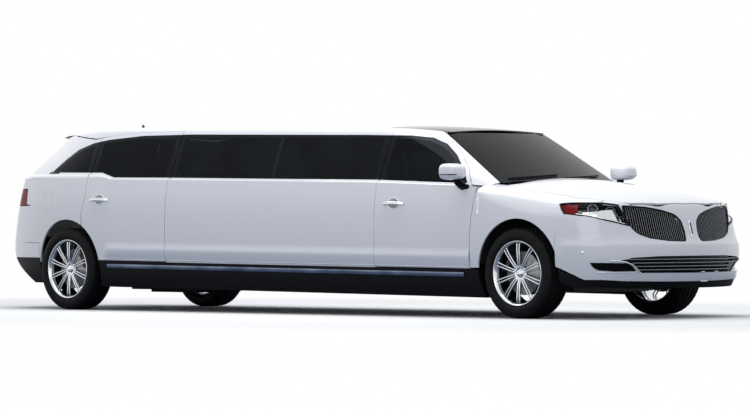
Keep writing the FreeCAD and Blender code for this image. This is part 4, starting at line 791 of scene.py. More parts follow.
NOSE = len(front_grid) - 1
lamp_half = run_of(
    front_grid, ("side", [(3318, 852), (3282, 888), (3250, 926), (3320, 933), (3430, 934), (3545, 932)]),
    ("front", [(740, 930), (672, 917), (650, 852), (618, 756), (650, 760), (783, 796), (872, 831)]),
    ("side", [(3420, 843)]))
lamp_top = run_of(front_grid, ("side", [(3228, 905), (3236, 934), (3320, 941), (3430, 942), (3555, 940)]))
lamp_bite = run_of(
    front_grid, ("side", [(3235, 925), (3276, 880), (3312, 845), (3420, 836)]),
    ("front", [(872, 824), (783, 789), (650, 753), (606, 744), (606, 749), (642, 852),
               (664, 922), (740, 937)]),
    ("side", [(3567, 941)]))
wing_rear = [(x + HINGE_GAP, z) for x, z in FRONT_DOOR_EDGE]
wing_foot = height_on(SILL, 2307)
wing_arch = [p for p in arch_points(FRONT_ARCH, 415)[::-1]]
wing_loop = run_of(
    front_grid, ("side", [(2307, wing_foot), *wing_rear[1:4], (2362, 1046)]),
    ("plan", [(2364, 860), (2364, 750), (2536, 744), (2900, 807), (3350, 797), (3553, 716)]))
wing_loop = np.concatenate([wing_loop, lamp_top[::-1], run_of(
    front_grid, ("side", [(3230, 852), (3230, 430)] + wing_arch + [(2398, wing_foot)]))])
wing = cut_skin(front_grid, [wing_loop], wall=3.0, depth=14)

bumper_half = np.concatenate([
    run_of(front_grid, ("front", [(0, 303), (350, 305), (700, 312)]),
           ("side", [(3500, 322), (3400, 366), (3290, 408), (3235, 424), (3235, 600)])),
    lamp_bite,
    run_of(front_grid, ("plan", [(3564, 712), (3600, 698), (3711, 564), (3782, 303), (3797, 0)]))])
HEAD_GRILLE = [(645, 912), (430, 899), (270, 872), (150, 838), (94, 788), (78, 700),
               (88, 636), (110, 624), (290, 630),
               (460, 652), (560, 690), (606, 740), (640, 840)]
LOWER_GRILLE = [(0, 368), (548, 372), (590, 398), (640, 446), (742, 474), (640, 497), (400, 508), (0, 509)]
FOG_RECESS = [(893, 459), (690, 455), (636, 434), (586, 384), (762, 382), (853, 392), (876, 415)]


def nose_opening(outline, radius):
    return trace(front_grid, rounded(outline, radius), "front", longest=15)


wing_hole = nose_opening(HEAD_GRILLE, 22)
fog_hole = nose_opening(FOG_RECESS, 12)
low_half = trace(front_grid, LOWER_GRILLE, "front", longest=15, closed=False)
low_hole = both_halves(low_half + [NOSE, 0], NOSE)
left_holes = [wing_hole + [NOSE, 0], fog_hole + [NOSE, 0]]
openings = left_holes + [on_right(hole, NOSE) for hole in left_holes] + [low_hole]
bumper = cut_skin(nose_grid, [both_halves(bumper_half + [NOSE, 0], NOSE)] + openings, wall=3.0, depth=22)
valance_half = run_of(front_grid, ("front", [(0, 243), (350, 243), (650, 246)]),
                      ("side", [(3420, 262), (3330, 268), (3262, 292), (3244, 400),
                                (3400, 348), (3500, 306)]),
                      ("front", [(700, 296), (350, 290), (0, 289)]))
valance = cut_skin(nose_grid, [both_halves(valance_half + [NOSE, 0], NOSE)], lift=-9.0, wall=3.0, depth=10)
bonnet_loop = trace(bonnet_grid, rounded([(x, y) for x, y in BONNET_EDGE[::-1]][1:][::-1]
                    + [(3790, 0)] + [(x, -y) for x, y in BONNET_EDGE[:-1]][::-1]
                    + [(x, -y) for x, y in BONNET_REAR[::-1]] + BONNET_REAR[1:], 14), "plan")
hood = cut_skin(bonnet_grid, [bonnet_loop], wall=3.0, depth=14)
wings = add_piece("wing_skins", joined([wing, flipped(wing)]), pearl_paint, "body")
nose = add_piece("nose_skin", bumper, pearl_paint, "body")
add_piece("front_valance", valance, cladding, "body")
hood_skin = add_piece("bonnet_skin", hood, pearl_paint, "bonnet")
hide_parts("front_fenders")
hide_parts("front_bumper")
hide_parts("bonnet")
print("nose", len(bumper[1]), "wing", len(wing[1]), "bonnet", len(hood[1]))

# %% [markdown]
# ## Swept strips
# Trim strips, pillars, grille bars and wheel spokes all have one small cross section that runs along a path.
# The section keeps its back to the surface, so each point of the path carries the surface's normal.

# %% Sweep and lathe
def normalised(vectors):
    vectors = np.asarray(vectors, float)
    return vectors / np.maximum(np.linalg.norm(vectors, axis=-1, keepdims=True), 1e-9)


def pill(width, height, round_to=0.45, steps=4):
    """Section with round corners: points (sideways, outward), standing on its back."""
    radius = min(width, height) * round_to
    out = []
    for x, y, turn in ((1, 0, -90), (1, 1, 0), (-1, 1, 90), (-1, 0, 180)):
        centre = (x * (width / 2 - radius), radius if y == 0 else height - radius)
        for a in np.radians(np.linspace(turn, turn + 90, steps)):
            out.append((centre[0] + radius * math.cos(a), centre[1] + radius * math.sin(a)))
    return out


def swept(path, ups, section, closed=False, scales=None):
    """A section carried along a path, with its top towards the given normals."""
    path, shape = np.asarray(path, float), np.asarray(section, float)
    ahead = normalised(np.roll(path, -1, 0) - np.roll(path, 1, 0) if closed else np.gradient(path, axis=0))
    side = normalised(np.cross(ahead, np.broadcast_to(np.asarray(ups, float), path.shape)))
    up = np.cross(side, ahead)
    edge = np.roll(shape, -1, 0) - shape
    out = normalised(np.stack([edge[:, 1], -edge[:, 0]], 1))
    corner = normalised(out + np.roll(out, 1, 0))
    grow = np.ones(len(path)) if scales is None else np.asarray(scales, float)
    spread = side[:, None] * shape[None, :, :1] + up[:, None] * shape[None, :, 1:]
    points = path[:, None] + grow[:, None, None] * spread
    normals = side[:, None] * corner[None, :, :1] + up[:, None] * corner[None, :, 1:]
    count, around = len(path), len(shape)
    faces = []
    for i in range(count if closed else count - 1):
        a, b = i * around, (i + 1) % count * around
        faces += [(a + k, b + k, b + (k + 1) % around, a + (k + 1) % around) for k in range(around)]
    points, normals = points.reshape(-1, 3), normals.reshape(-1, 3)
    if not closed:
        for end, sign in ((0, -1), (count - 1, 1)):
            ids = tuple(range(len(points), len(points) + around))
            points = np.concatenate([points, points[end * around:(end + 1) * around]])
            normals = np.concatenate([normals, np.repeat([ahead[end] * sign], around, 0)])
            faces.append(ids if sign < 0 else ids[::-1])
    return points, faces, normals


def along_skin(grid, places, lift=2.5):
    """Points and normals over a skin."""
    normals = normalised(sample(normals_of(grid), places))
    return sample(grid, places) + normals * lift, normals


def lathed(profile, steps=96, centre=(0, 0, 0), closed=True):
    """A profile of (y, radius) turned round the Y axis."""
    profile = np.asarray(profile, float)
    run = np.roll(profile, -1, 0) - profile if closed else np.diff(profile, axis=0)
    out = normalised(np.stack([-run[:, 1], run[:, 0]], 1))
    corner = normalised(out + np.roll(out, 1, 0)) if closed else normalised(
        np.concatenate([out[:1], out[1:] + out[:-1], out[-1:]]))
    turn = np.linspace(0, 2 * math.pi, steps, endpoint=False)
    cosine, sine = np.cos(turn)[:, None], np.sin(turn)[:, None]
    level, radius = profile[None, :, 0] + 0 * cosine, profile[None, :, 1]
    points = np.stack([radius * cosine, level, radius * sine], 2) + np.asarray(centre, float)
    outward, along = corner[None, :, 1], corner[None, :, 0]
    normals = np.stack([outward * cosine, along + 0 * cosine, outward * sine], 2)
    around, faces = len(profile), []
    for i in range(steps):
        a, b = i * around, (i + 1) % steps * around
        faces += [(a + k, a + (k + 1) % around, b + (k + 1) % around, b + k)
                  for k in range(around if closed else around - 1)]
    return points.reshape(-1, 3), faces, normals.reshape(-1, 3)


# %% [markdown]
# ## Side windows
# The panes sit flush in smoked chrome frames, so the side reads as one dark band. Each door carries its own
# frame and pane. Where the lower skin stops at the belt, a narrow painted shoulder turns in to the glass, and
# a thin bright strip covers the joint.

# %% Window band
CROWN_ROW = 58
PANE_DROP = 30.0
# Columns: name, body, frame from, frame to, pane from, pane to.
SIDE_PANES = [
    ("front_door", "front_door", 1214, 2196, 1276, 2168),
    ("stretch_front", "body", -90, 1207, -70, 1152),
    ("stretch_rear", "body", -1382, -90, -1329, -110),
    ("rear_door", "rear_door", -2453, -1391, -2398, -1449),
    ("quarter", "body", -3098, -2462, -3060, -2515),
]
BELT_STRIP = 14.0


def window_outline(low_x, high_x, top, foot):
    """Side-view outline between the belt and the window top."""
    low, high = stretch_of(lifted(BELT_LINE, foot), low_x, high_x), stretch_of(top, low_x, high_x)
    return low + high[::-1]


def window_outline_between(low_x, high_x, foot_line, top_line):
    return stretch_of(foot_line, low_x, high_x) + stretch_of(top_line, low_x, high_x)[::-1]


def above(outline, foot):
    """Outline with every point held above the belt."""
    return [(x, max(z, height_on(BELT_LINE, x) + foot)) for x, z in outline]


band = {}
for name, owner, low, high, pane_low, pane_high in SIDE_PANES:
    frame_outline = above(window_outline(low, high, WINDOW_TOP, 4), 4)
    pane_outline = above(window_outline(pane_low, pane_high, moved_out(WINDOW_TOP, -PANE_DROP), 24), 24)
    rail_outline = window_outline_between(low, high, moved_out(WINDOW_TOP, 0.6), moved_out(FRAME_TOP, 6.0))
    pane_loop = trace(house_grid, rounded(pane_outline, 22), longest=25)
    frame_loop = trace(house_grid, rounded(frame_outline, 5), longest=25)
    rail_loop = trace(house_grid, rail_outline, longest=25)
    band[name] = (owner, cut_skin(house_grid, [frame_loop, pane_loop], lift=1.0, fold=1.0, depth=5),
                  cut_skin(house_grid, [pane_loop], lift=-0.5, fold=0.6, depth=4),
                  cut_skin(house_grid, [rail_loop], lift=1.6, fold=1.0, depth=7))
for side_name, turn in (("left", lambda part: part), ("right", flipped)):
    for name, (owner, rim, pane, rail) in band.items():
        body = owner if owner == "body" else f"{owner}_{side_name}"
        add_piece(f"{name}_window_frame_{side_name}", turn(rim), dark_chrome, body)
        add_piece(f"{name}_rail_{side_name}", turn(rail), pearl_paint, body)
        glass = add_piece(f"{name}_pane_{side_name}", turn(pane), privacy_glass, body)
        if name in ("front_door", "rear_door"):
            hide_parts(f"{name}_glass_{side_name}")
print("window band", {name: len(item[1][1]) for name, item in band.items()})


# %% [markdown]
# ## Shoulder and belt strip
# The shoulder is a sheet bent over a soft radius. It starts under the edge of the lower skin and ends under
# the strip, so no gap shows between them.

# %% Shoulder and belt strip
def shoulder(low_x, high_x):
    """Painted turn-in from the lower skin to the glass, over a stretch of the belt."""
    line = stretch_of(BELT_LINE, low_x, high_x)
    foot = trace(side_grid, line, longest=20, closed=False)
    head = trace(house_grid, lifted(line, 8), longest=20, closed=False)
    start, _ = along_skin(side_grid, foot, 1.2)
    end, _ = along_skin(house_grid, head, 1.5)
    bend_y = start[:, 1] * 0.75 + end[:, 1] * 0.25
    corner = np.stack([start[:, 0], bend_y, np.maximum(start[:, 2], end[:, 2]) + 3], 1)
    start = start - np.array([0, 0, 6.0])
    rows = [start * (1 - t) ** 2 + corner * 2 * t * (1 - t) + end * t * t for t in np.linspace(0, 1, 9)]
    grid = np.stack(rows, 1)
    across = normalised(np.cross(np.gradient(grid, axis=0), np.gradient(grid, axis=1)))
    across *= np.sign(across[..., 2:3].sum())
    count, depth = grid.shape[:2]
    faces = [(i * depth + k, (i + 1) * depth + k, (i + 1) * depth + k + 1, i * depth + k + 1)
             for i in range(count - 1) for k in range(depth - 1)]
    first = np.cross(grid[1, 0] - grid[0, 0], grid[1, 1] - grid[0, 0])
    if np.dot(first, across[0, 0]) < 0:
        faces = [face[::-1] for face in faces]
    return grid.reshape(-1, 3), faces, across.reshape(-1, 3)


def belt_strip(low_x, high_x):
    line = stretch_of(lifted(BELT_LINE, 12), low_x, high_x)
    path, ups = along_skin(house_grid, trace(house_grid, line, longest=25, closed=False), 1.0)
    return swept(path, ups, pill(BELT_STRIP, 5.0))


for side_name, turn in (("left", lambda part: part), ("right", flipped)):
    for name, owner, low, high in (("front_door", "front_door", 1214, 2196), ("stretch", "body", -1382, 1207),
                                   ("rear_door", "rear_door", -2453, -1391),
                                   ("quarter", "body", -2940, -2462)):
        body = owner if owner == "body" else f"{owner}_{side_name}"
        add_piece(f"{name}_shoulder_{side_name}", turn(shoulder(low, high)), pearl_paint, body)
        add_piece(f"{name}_belt_strip_{side_name}", turn(belt_strip(low, high)), chrome, body)

# %% [markdown]
# ## Roof, pillars and screen
# The roof is one pressing with deep rails that run down into the screen pillars. The fixed glass over the
# driver and the header above the screen are black, so the dark screen runs on into the roof.

# %% Roof and windscreen
SCREEN = [(-712, 1100), (-560, 1120), (560, 1120), (712, 1100), (590, 1530), (-590, 1530)]
roof_foot = [(x, z) for x, z in lifted(FRAME_TOP, ROOF_GAP) if -2540 < x < 1500]
pillar_foot = [(x + 8, z + 7) for x, z in FRAME_TOP if 1500 < x < 2195]
ring_low = [(-3040, 1588), (-2545, 1546)] + roof_foot + pillar_foot + [(2242, 1094), (2366, 1082)]
ring_half = np.concatenate([
    run_of(house_grid, ("side", ring_low), crown=CROWN_ROW),
    run_of(house_grid, ("front", [(720, 1106), (660, 1330), (604, 1540)]), crown=CROWN_ROW, ahead_of=1450),
    run_of(house_grid, ("plan", [(1735, 597), (1000, 597), (992, 597), (992, 470),
                                 (-3038, 470), (-3041, 520)]),
           crown=CROWN_ROW)])
ring = cut_skin(house_grid, [ring_half], lift=1.0, wall=3.0, depth=10)
middle_loop = trace(roof_grid, rounded([(-3041, -480), (988, -480), (988, 480), (-3041, 480)], 6), "plan")
middle = cut_skin(roof_grid, [middle_loop], lift=1.0, fold=0, wall=3.0, depth=8)
glass_loop = trace(roof_grid, rounded([(1000, -590), (1735, -575), (1735, 575), (1000, 590)], 14), "plan")
roof_pane = cut_skin(roof_grid, [glass_loop], lift=0.6, wall=4.0, depth=6)
screen_loop = trace(house_front, rounded(SCREEN, 40), "front", ahead_of=1500)
screen = cut_skin(house_front, [screen_loop], lift=0.0, wall=5.0, depth=6)
roof_skin = add_piece("roof_skin", joined([ring, flipped(ring), middle]), pearl_paint, "body")
glass_roof = add_piece("glass_roof", roof_pane, privacy_glass, "body")
windscreen = add_piece("windscreen_glass", screen, screen_glass, "body")
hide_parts("roof_frame")
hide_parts("tinted_glass")
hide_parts("windscreen")
print("roof", len(ring[1]), "middle", len(middle[1]), "screen", len(screen[1]))

# %% [markdown]
# ## Tail
# Behind the rear doors the quarter panels run round the corners to the liftgate. The tail lamps bite into
# them, the gate closes the middle, and the bumper cover below is painted above and bare plastic below.

# %% Quarters, gate and rear bumper
TAIL = 113
TAIL_FIRST = 200
quarter_front = [(x - HINGE_GAP, z) for x, z in REAR_DOOR_EDGE]
quarter_arch = [p for p in arch_points(REAR_ARCH, 430)[::-1] if p[0] < -2511]
tail_lamp = run_of(side_grid, ("side", [(-3418, 1086), (-3412, 965)]),
                   ("front", [(860, 950), (780, 945), (718, 946), (718, 1084), (790, 1092)]), behind=-2700)
quarter_loop = np.concatenate([
    run_of(side_grid, ("side", quarter_arch + [(-3148, 440), (-3148, 606), (-3400, 606)]), behind=-2400),
    run_of(side_grid, ("front", [(880, 606), (708, 606), (708, 936), (780, 936), (862, 941)]), behind=-2700),
    run_of(side_grid, ("side", [(-3403, 958), (-3410, 1096)]),
           ("front", [(790, 1101), (708, 1094), (700, 1130)]),
           behind=-2700),
    run_of(side_grid, ("side", [(-3470, 1192),
                                (-2462, 1192), quarter_front[3], quarter_front[2], (-2511, 846),
                                (-2511, 768)]), behind=-2400)])
FUEL_DOOR = [(-3080, 905), (-2920, 905), (-2920, 1065), (-3080, 1065)]
fuel_hole = trace(side_grid, rounded(FUEL_DOOR, 34), "side", longest=15)
FUEL_LID = [(-3075, 910), (-2925, 910), (-2925, 1060), (-3075, 1060)]
fuel_lid = trace(side_grid, rounded(FUEL_LID, 30), "side", longest=15)
quarter = cut_skin(side_grid, [quarter_loop], wall=3.0, depth=14)
quarter_right = flipped(cut_skin(side_grid, [quarter_loop, fuel_hole], wall=3.0, depth=14))
pillar_low = [p for p in FRAME_TOP if -3120 < p[0] < -2545]
pillar_loop = run_of(
    house_grid, ("side", [(-3150, 1232)] + [(x - 3, z + 4) for x, z in pillar_low] + [(-2550, 1534), (-3038, 1578),
                                                                                  (-3062, 1566), (-3124, 1514),
                                                                                  (-3388, 1232)]), behind=-2400)
rear_pillar = cut_skin(house_grid, [pillar_loop], lift=1.0, wall=3.0, depth=10)
gate_top = run_of(house_grid, ("plan", [(-3056, 0), (-3056, 460)]), ("side", [(-3070, 1562), (-3137, 1508),
                                                                            (-3418, 1196)]),
                  ("front", [(600, 1196), (0, 1196)]), crown=CROWN_ROW, behind=-2700)
gate_window = run_of(house_grid, ("front",
                                  [(0, 1474), (430, 1468), (462, 1440), (560, 1252), (546, 1236), (0, 1232)]),
                     behind=-2700)
window_hole = both_halves(gate_window - [TAIL_FIRST, 0], TAIL)
gate_upper = cut_skin(house_tail, [both_halves(gate_top - [TAIL_FIRST, 0], TAIL), window_hole], lift=1.0, wall=3.0,
                      depth=12)
gate_half = run_of(side_grid, ("front", [(0, 1194), (620, 1194)]), ("side", [(-3482, 1192)]),
                   ("front", [(692, 1130), (700, 1090), (700, 608), (0, 608)]), behind=-2700)
gate_lower = cut_skin(tail_grid, [both_halves(gate_half - [TAIL_FIRST, 0], TAIL)], wall=3.0, depth=14)
rear_upper = run_of(side_grid, ("front", [(0, 600), (700, 600)]),
                    ("side", [(-3400, 600), (-3157, 600), (-3157, 470)]),
                    ("front", [(880, 470), (0, 470)]), behind=-2700)
rear_lower = run_of(side_grid, ("front", [(0, 466), (880, 466)]), ("side", [(-3157, 466), (-3157, 240)]),
                    ("front", [(700, 240), (0, 240)]), behind=-2700)
rear_paint = cut_skin(tail_grid, [both_halves(rear_upper - [TAIL_FIRST, 0], TAIL)], wall=3.0, depth=14)
rear_black = cut_skin(tail_grid, [both_halves(rear_lower - [TAIL_FIRST, 0], TAIL)], lift=0.5, wall=3.0,
                      depth=14)
quarters = add_piece("quarter_skins", joined([quarter, quarter_right, rear_pillar, flipped(rear_pillar)]),
                     pearl_paint, "body")
gate_skin = add_piece("liftgate_skin", joined([gate_upper, gate_lower]), pearl_paint, "liftgate")
gate_pane = add_piece("liftgate_pane", cut_skin(house_tail, [window_hole], lift=0.0, wall=4.0, depth=4),
                      privacy_glass, "liftgate")
rear_skin = add_piece("rear_bumper_skin", rear_paint, pearl_paint, "body")
add_piece("rear_bumper_lower", rear_black, cladding, "body")
add_piece("fuel_lid_skin", flipped(cut_skin(side_grid, [fuel_lid], depth=1.5)), pearl_paint, "fuel_door")
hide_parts("quarter_panels")
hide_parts("liftgate")
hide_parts("liftgate_glass")
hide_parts("rear_bumper")
lamp_parts = cut_skin(side_grid, [tail_lamp], lift=2.0, fold=1.0, depth=16)
tail_lenses = add_piece("tail_lamp_lenses", joined([lamp_parts, flipped(lamp_parts)]), lamp_red, "body")
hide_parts("tail_lamps")
print("quarter", len(quarter[1]), "gate", len(gate_upper[1]) + len(gate_lower[1]), "rear", len(rear_paint[1]))
for side_name, turn in (("left", lambda part: part), ("right", flipped)):
    add_piece(f"tail_shoulder_{side_name}", turn(shoulder(-3440, -2940)), pearl_paint, "body")

# %% [markdown]
# ## Wheels
# Each wheel is a cast alloy rim with ten pairs of slim spokes, plated bright, over a turned brake disc. The
# tyre is a low one for a heavy car: a plain sidewall with a rim guard, four rain grooves and cross cuts.

# %% Wheel parts, made for the left side
WHEEL_R = 368.5
TYRE_SIDE = [(104, 262), (113, 271), (120, 276), (126, 288), (128.5, 300), (128.2, 312),
             (127.0, 325), (123, 340),
             (117, 354), (110, 362.5), (104, 366)]
GROOVES = [(-74, 8), (-28, 9), (28, 9), (74, 8)]
tread = []
for middle, width in GROOVES:
    half = width / 2
    tread += [(middle - half - 0.6, 0), (middle - half, -1), (middle - half + 1, -7), (middle + half - 1, -7),
              (middle + half, -1), (middle + half + 0.6, 0)]
tread_line = [(y, WHEEL_R - (y / 104) ** 2 * 2.5 + dip) for y, dip in tread]
tyre_profile = [(-y, r) for y, r in TYRE_SIDE] + tread_line + TYRE_SIDE[::-1] + [(98, 256), (60, 262), (-60, 262),
                                                                              (-98, 256)]
TYRE_STEPS = 288


def tyre_part():
    """Tyre with cross cuts in its outer ribs."""
    points, faces, _ = lathed(tyre_profile, TYRE_STEPS)
    radius = np.hypot(points[:, 0], points[:, 2])
    step = np.arange(len(points)) // len(tyre_profile)
    outer = (np.abs(points[:, 1]) > 34) & (np.abs(points[:, 1]) < 112) & (radius > 361)
    shift = np.where(np.abs(points[:, 1]) > 78, 2, 0)
    cut = outer & ((step + shift) % 6 == 0)
    sunk = (radius[cut] - 6) / radius[cut]
    points[cut] *= np.stack([sunk, np.ones(cut.sum()), sunk], 1)
    return points, faces, None


RIM_PROFILE = [(-114, 262), (-108, 255), (-96, 250), (-50, 243), (20, 241), (72, 243), (96, 250), (106, 256),
               (112, 264), (117.5, 266), (119.5, 262), (117, 257), (110, 250),
               (98, 243.5), (88, 240), (72, 238),
               (20, 236), (-50, 238), (-98, 245), (-110, 250), (-117, 257)]
rim_part = lathed(RIM_PROFILE, 128)


def spoke(angle, sideways):
    """One spoke of a pair, from the hub to the rim."""
    radii = np.array([46, 70, 110, 160, 210, 240])
    depth = np.array([80, 90, 97, 101, 103, 100])
    spread = np.linspace(0.72, 1.28, len(radii)) * sideways
    cosine, sine = math.cos(angle), math.sin(angle)
    path = np.stack([radii * cosine - spread * sine, depth - 9, radii * sine + spread * cosine], 1)
    return swept(path, (0, 1, 0), pill(11.5, 15, 0.4), scales=np.linspace(1.12, 0.94, len(radii)))


SPOKE_PAIRS, LUGS = 10, 5
spokes = [spoke(2 * math.pi * k / SPOKE_PAIRS + math.pi / 2, side)
          for k in range(SPOKE_PAIRS) for side in (-11, 11)]
hub = lathed([(30, 0), (30, 68), (76, 70), (84, 64), (88, 50), (86, 40), (80, 36),
              (80, 31), (84, 30), (94, 29),
              (99, 25), (101, 16), (101.5, 0)], 80, closed=False)
lugs = [lathed([(78, 0), (78, 10), (92, 10), (94.5, 7), (95, 0)], 6, closed=False) for _ in range(LUGS)]
lug_parts = []
for k, (points, faces, normals) in enumerate(lugs):
    angle = 2 * math.pi * k / LUGS + math.pi / 2
    lug_parts.append((points + [57 * math.cos(angle), -3, 57 * math.sin(angle)], faces, normals))
bright_wheel = joined([rim_part, hub] + spokes)
disc = lathed([(14, 40), (14, 176), (17, 177.5), (37, 177.5), (40, 176), (40, 78), (58, 76),
               (60, 72), (60, 40)], 128,
              closed=False)
disc_back = lathed([(60, 10), (14, 12), (14, 40)], 64, closed=False)


def calliper(angle):
    """Brake calliper: a cast bridge round the edge of the disc."""
    turn = np.linspace(angle - 0.42, angle + 0.42, 14)
    path = np.stack([150 * np.cos(turn), np.full(14, 27.0), 150 * np.sin(turn)], 1)
    ups = np.stack([np.cos(turn), np.zeros(14), np.sin(turn)], 1)
    return swept(path, ups, pill(74, 44, 0.25))


tyre = tyre_part()
print("tyre", len(tyre[1]), "bright parts", len(bright_wheel[1]))

# %% Put the wheels on
for end, x in (("front", FRONT_AXLE), ("rear", REAR_AXLE)):
    for side_name, sign in (("left", 1), ("right", -1)):
        body = f"wheel_{end}_{side_name}"
        turn = (lambda part: part) if sign > 0 else flipped

        def placed(part):
            points, faces, normals = part
            facing = np.zeros_like(points) if normals is None else normals
            points, faces, normals = turn((points, faces, facing))
            return points + [x, sign * 826.0, WHEEL_R], faces, None if part[2] is None else normals

        rubber_piece = add_piece(f"tyre_skin_{end}_{side_name}", placed(tyre), rubber, body)
        bright_piece = add_piece(f"rim_skin_{end}_{side_name}", placed(bright_wheel), chrome, body)
        add_piece(f"lug_nuts_{end}_{side_name}", placed(joined(lug_parts)), chrome, body)
        add_piece(f"brake_disc_{end}_{side_name}", placed(joined([disc, disc_back])), turned_iron, body)
        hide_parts(f"tyre_{end}_{side_name}")
        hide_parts(f"rim_{end}_{side_name}")
        holder = f"steering_{side_name}" if end == "front" else "body"
        clamp = calliper(2.6 if end == "front" else 0.5)
        add_piece(f"calliper_{end}_{side_name}", placed(clamp), cast_iron, holder)

# %% [markdown]
# ## Grille wings and lower grille
# Each wing is a dark frame round a row of fine upright bars of drawn aluminium. Behind them a dark
# sheet stands for the radiator shroud. The lower grille has four long flat bars in the same finish.

# %% Grilles
def shroud(loop, back, grid=nose_grid):
    """Dark sheet some way behind an opening."""
    return cut_skin(grid, [loop], lift=-back, fold=0, depth=1)


def fitted_bars(outline, count, first, last, margin):
    """Upright lines across an outline: (y, low z, high z) for each bar."""
    points = np.array(outline + outline[:1], float)
    bars = []
    for y in np.linspace(first, last, count):
        heights = []
        for a, b in zip(points[:-1], points[1:]):
            if (a[0] - y) * (b[0] - y) < 0:
                heights.append(a[1] + (b[1] - a[1]) * (y - a[0]) / (b[0] - a[0]))
        if len(heights) >= 2:
            bars.append((y, min(heights) + margin, max(heights) - margin))
    return bars


WING_BARS = 27
bars = []
for y, low, high in fitted_bars(HEAD_GRILLE, WING_BARS, 100, 634, 7):
    heights = np.linspace(low, high, 9)
    places = on_skin(front_grid, [(y, z) for z in heights], "front")
    path, ups = along_skin(front_grid, places, -26)
    bars.append(swept(path, ups, pill(3.6, 20, 0.42)))
bars = joined(bars)
bar_piece = add_piece("grille_bars", joined([bars, flipped(bars)]), satin_bar, "body")
wing_frame = swept(*along_skin(front_grid, wing_hole, -12), pill(13, 16, 0.45), closed=True)
wing_back = shroud(wing_hole, 34, front_grid)
add_piece("grille_frames", joined([wing_frame, flipped(wing_frame)]), dark_chrome, "body")
add_piece("grille_shrouds", joined([wing_back, flipped(wing_back), shroud(low_hole, 40)]), gloss_black,
          "body")
low_bars = []
for z, reach in ((481, 690), (452, 640), (424, 610), (396, 575)):
    places = on_skin(front_grid, [(y, z) for y in np.linspace(0, reach, 24)], "front") + [NOSE, 0]
    places = np.concatenate([on_right(places, NOSE)[:-1], places])
    path, ups = along_skin(nose_grid, places, -24)
    low_bars.append(swept(path, ups, pill(9, 20, 0.4)))
add_piece("lower_grille_bars", joined(low_bars), satin_bar, "body")
low_rim = swept(*along_skin(nose_grid, low_hole, -8), pill(7, 10, 0.45), closed=True)
add_piece("lower_grille_rim", low_rim, gloss_black, "body")
trim_line = [(800, 471), (742, 470), (690, 461), (640, 441), (600, 408), (566, 375)]
places = on_skin(front_grid, trim_line, "front")
smooth = np.stack([np.interp(np.linspace(0, 5, 41), range(6), places[:, k]) for k in range(2)], 1)
fog_trim = swept(*along_skin(front_grid, smooth, 1.5), pill(11, 8, 0.45))
fog_foot = on_skin(front_grid, [(y, 379) for y in np.linspace(590, 850, 20)], "front")
fog_lip = swept(*along_skin(front_grid, fog_foot, 1.5), pill(7, 5, 0.45))
fog_back = shroud(fog_hole, 44, front_grid)
add_piece("fog_trims", joined([part for side in (fog_trim, fog_lip) for part in (side, flipped(side))]),
          chrome, "body")
add_piece("fog_shrouds", joined([fog_back, flipped(fog_back)]), gloss_black, "body")
fog_lamp = lathed([(0, 0), (6, 20), (14, 32), (22, 38), (24, 40), (20, 42), (-6, 40)], 40, closed=False)


def aimed(part, place, facing):
    """A part made along the Y axis, turned to face a direction and moved to a place."""
    points, faces, normals = part
    turn = np.array(Vector((0, 1, 0)).rotation_difference(Vector(facing)).to_matrix())
    return points @ turn.T + np.asarray(place, float), faces, None if normals is None else normals @ turn.T


fog_parts = joined([aimed(fog_lamp, (3640, 770, 420), (0.75, 0.66, 0))])
add_piece("fog_lamps", joined([fog_parts, flipped(fog_parts)]), gloss_black, "body")
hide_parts("grille")
print("bars", len(bars[1]))

# The narrow upright slot in the middle strip is left bare, with a plain dark inlay.
middle_places = on_skin(front_grid, [(0, z) for z in np.linspace(665, 790, 9)], "front") + [NOSE, 0]
slot_path, slot_ups = along_skin(nose_grid, middle_places, 1.5)
slot_sizes = np.interp(range(9), (0, 4, 8), (0.7, 1, 0.7))
add_piece("centre_rib", swept(slot_path, slot_ups, pill(22, 9, 0.45), scales=slot_sizes), chrome, "body")
add_piece("centre_inlay", swept(slot_path[1:-1], slot_ups[1:-1], pill(13, 14, 0.45)), gloss_black, "body")

# %% [markdown]
# ## Headlamps
# A clear moulded cover follows the skin. Inside sit a bright tray, three bowls with a lens in each, a slim
# shelf, and a red marker at the outer end.

# %% Headlamps
lens = cut_skin(front_grid, [lamp_half], lift=1.0, fold=1.2, depth=10)
tray = cut_skin(front_grid, [lamp_half], lift=-62, fold=0, depth=1)
tray_rim = swept(*along_skin(front_grid, lamp_half, -8), pill(7, 14, 0.4), closed=True)
marker_loop = run_of(front_grid, ("side", [(3312, 858), (3284, 888), (3256, 924), (3330, 928), (3400, 929)]),
                     ("side", [(3440, 846), (3400, 850)]))
marker = cut_skin(front_grid, [marker_loop], lift=-9, fold=1.0, depth=8)
BOWL_SIDE = [(-58, 6), (-52, 16), (-40, 26), (-24, 34), (-4, 40), (0, 42), (-2, 44), (-20, 42)]
bowl = lathed(BOWL_SIDE, 48, closed=False)
ball = lathed([(-24, 24), (-12, 23), (-2, 19), (6, 11), (9, 0)], 32, closed=False)
LAMP_SPOTS = [(3520, 800, 885, 40), (3625, 705, 858, 44), (3676, 648, 818, 30)]
bowls, balls = [], []
for x, y, z, radius in LAMP_SPOTS:
    size = radius / 42.0
    for part, pile in ((bowl, bowls), (ball, balls)):
        pile.append(aimed((part[0] * size, part[1], part[2]), (x - 22, y - 22, z), (0.86, 0.5, 0.06)))
shelf = swept(*along_skin(front_grid, run_of(front_grid, ("side", [(3420, 852), (3500, 842)]),
                                             ("front",
                                              [(800, 812), (700, 786), (640, 770)])), -30), pill(10, 22, 0.4))
bowls, balls = joined(bowls + [shelf]), joined(balls)
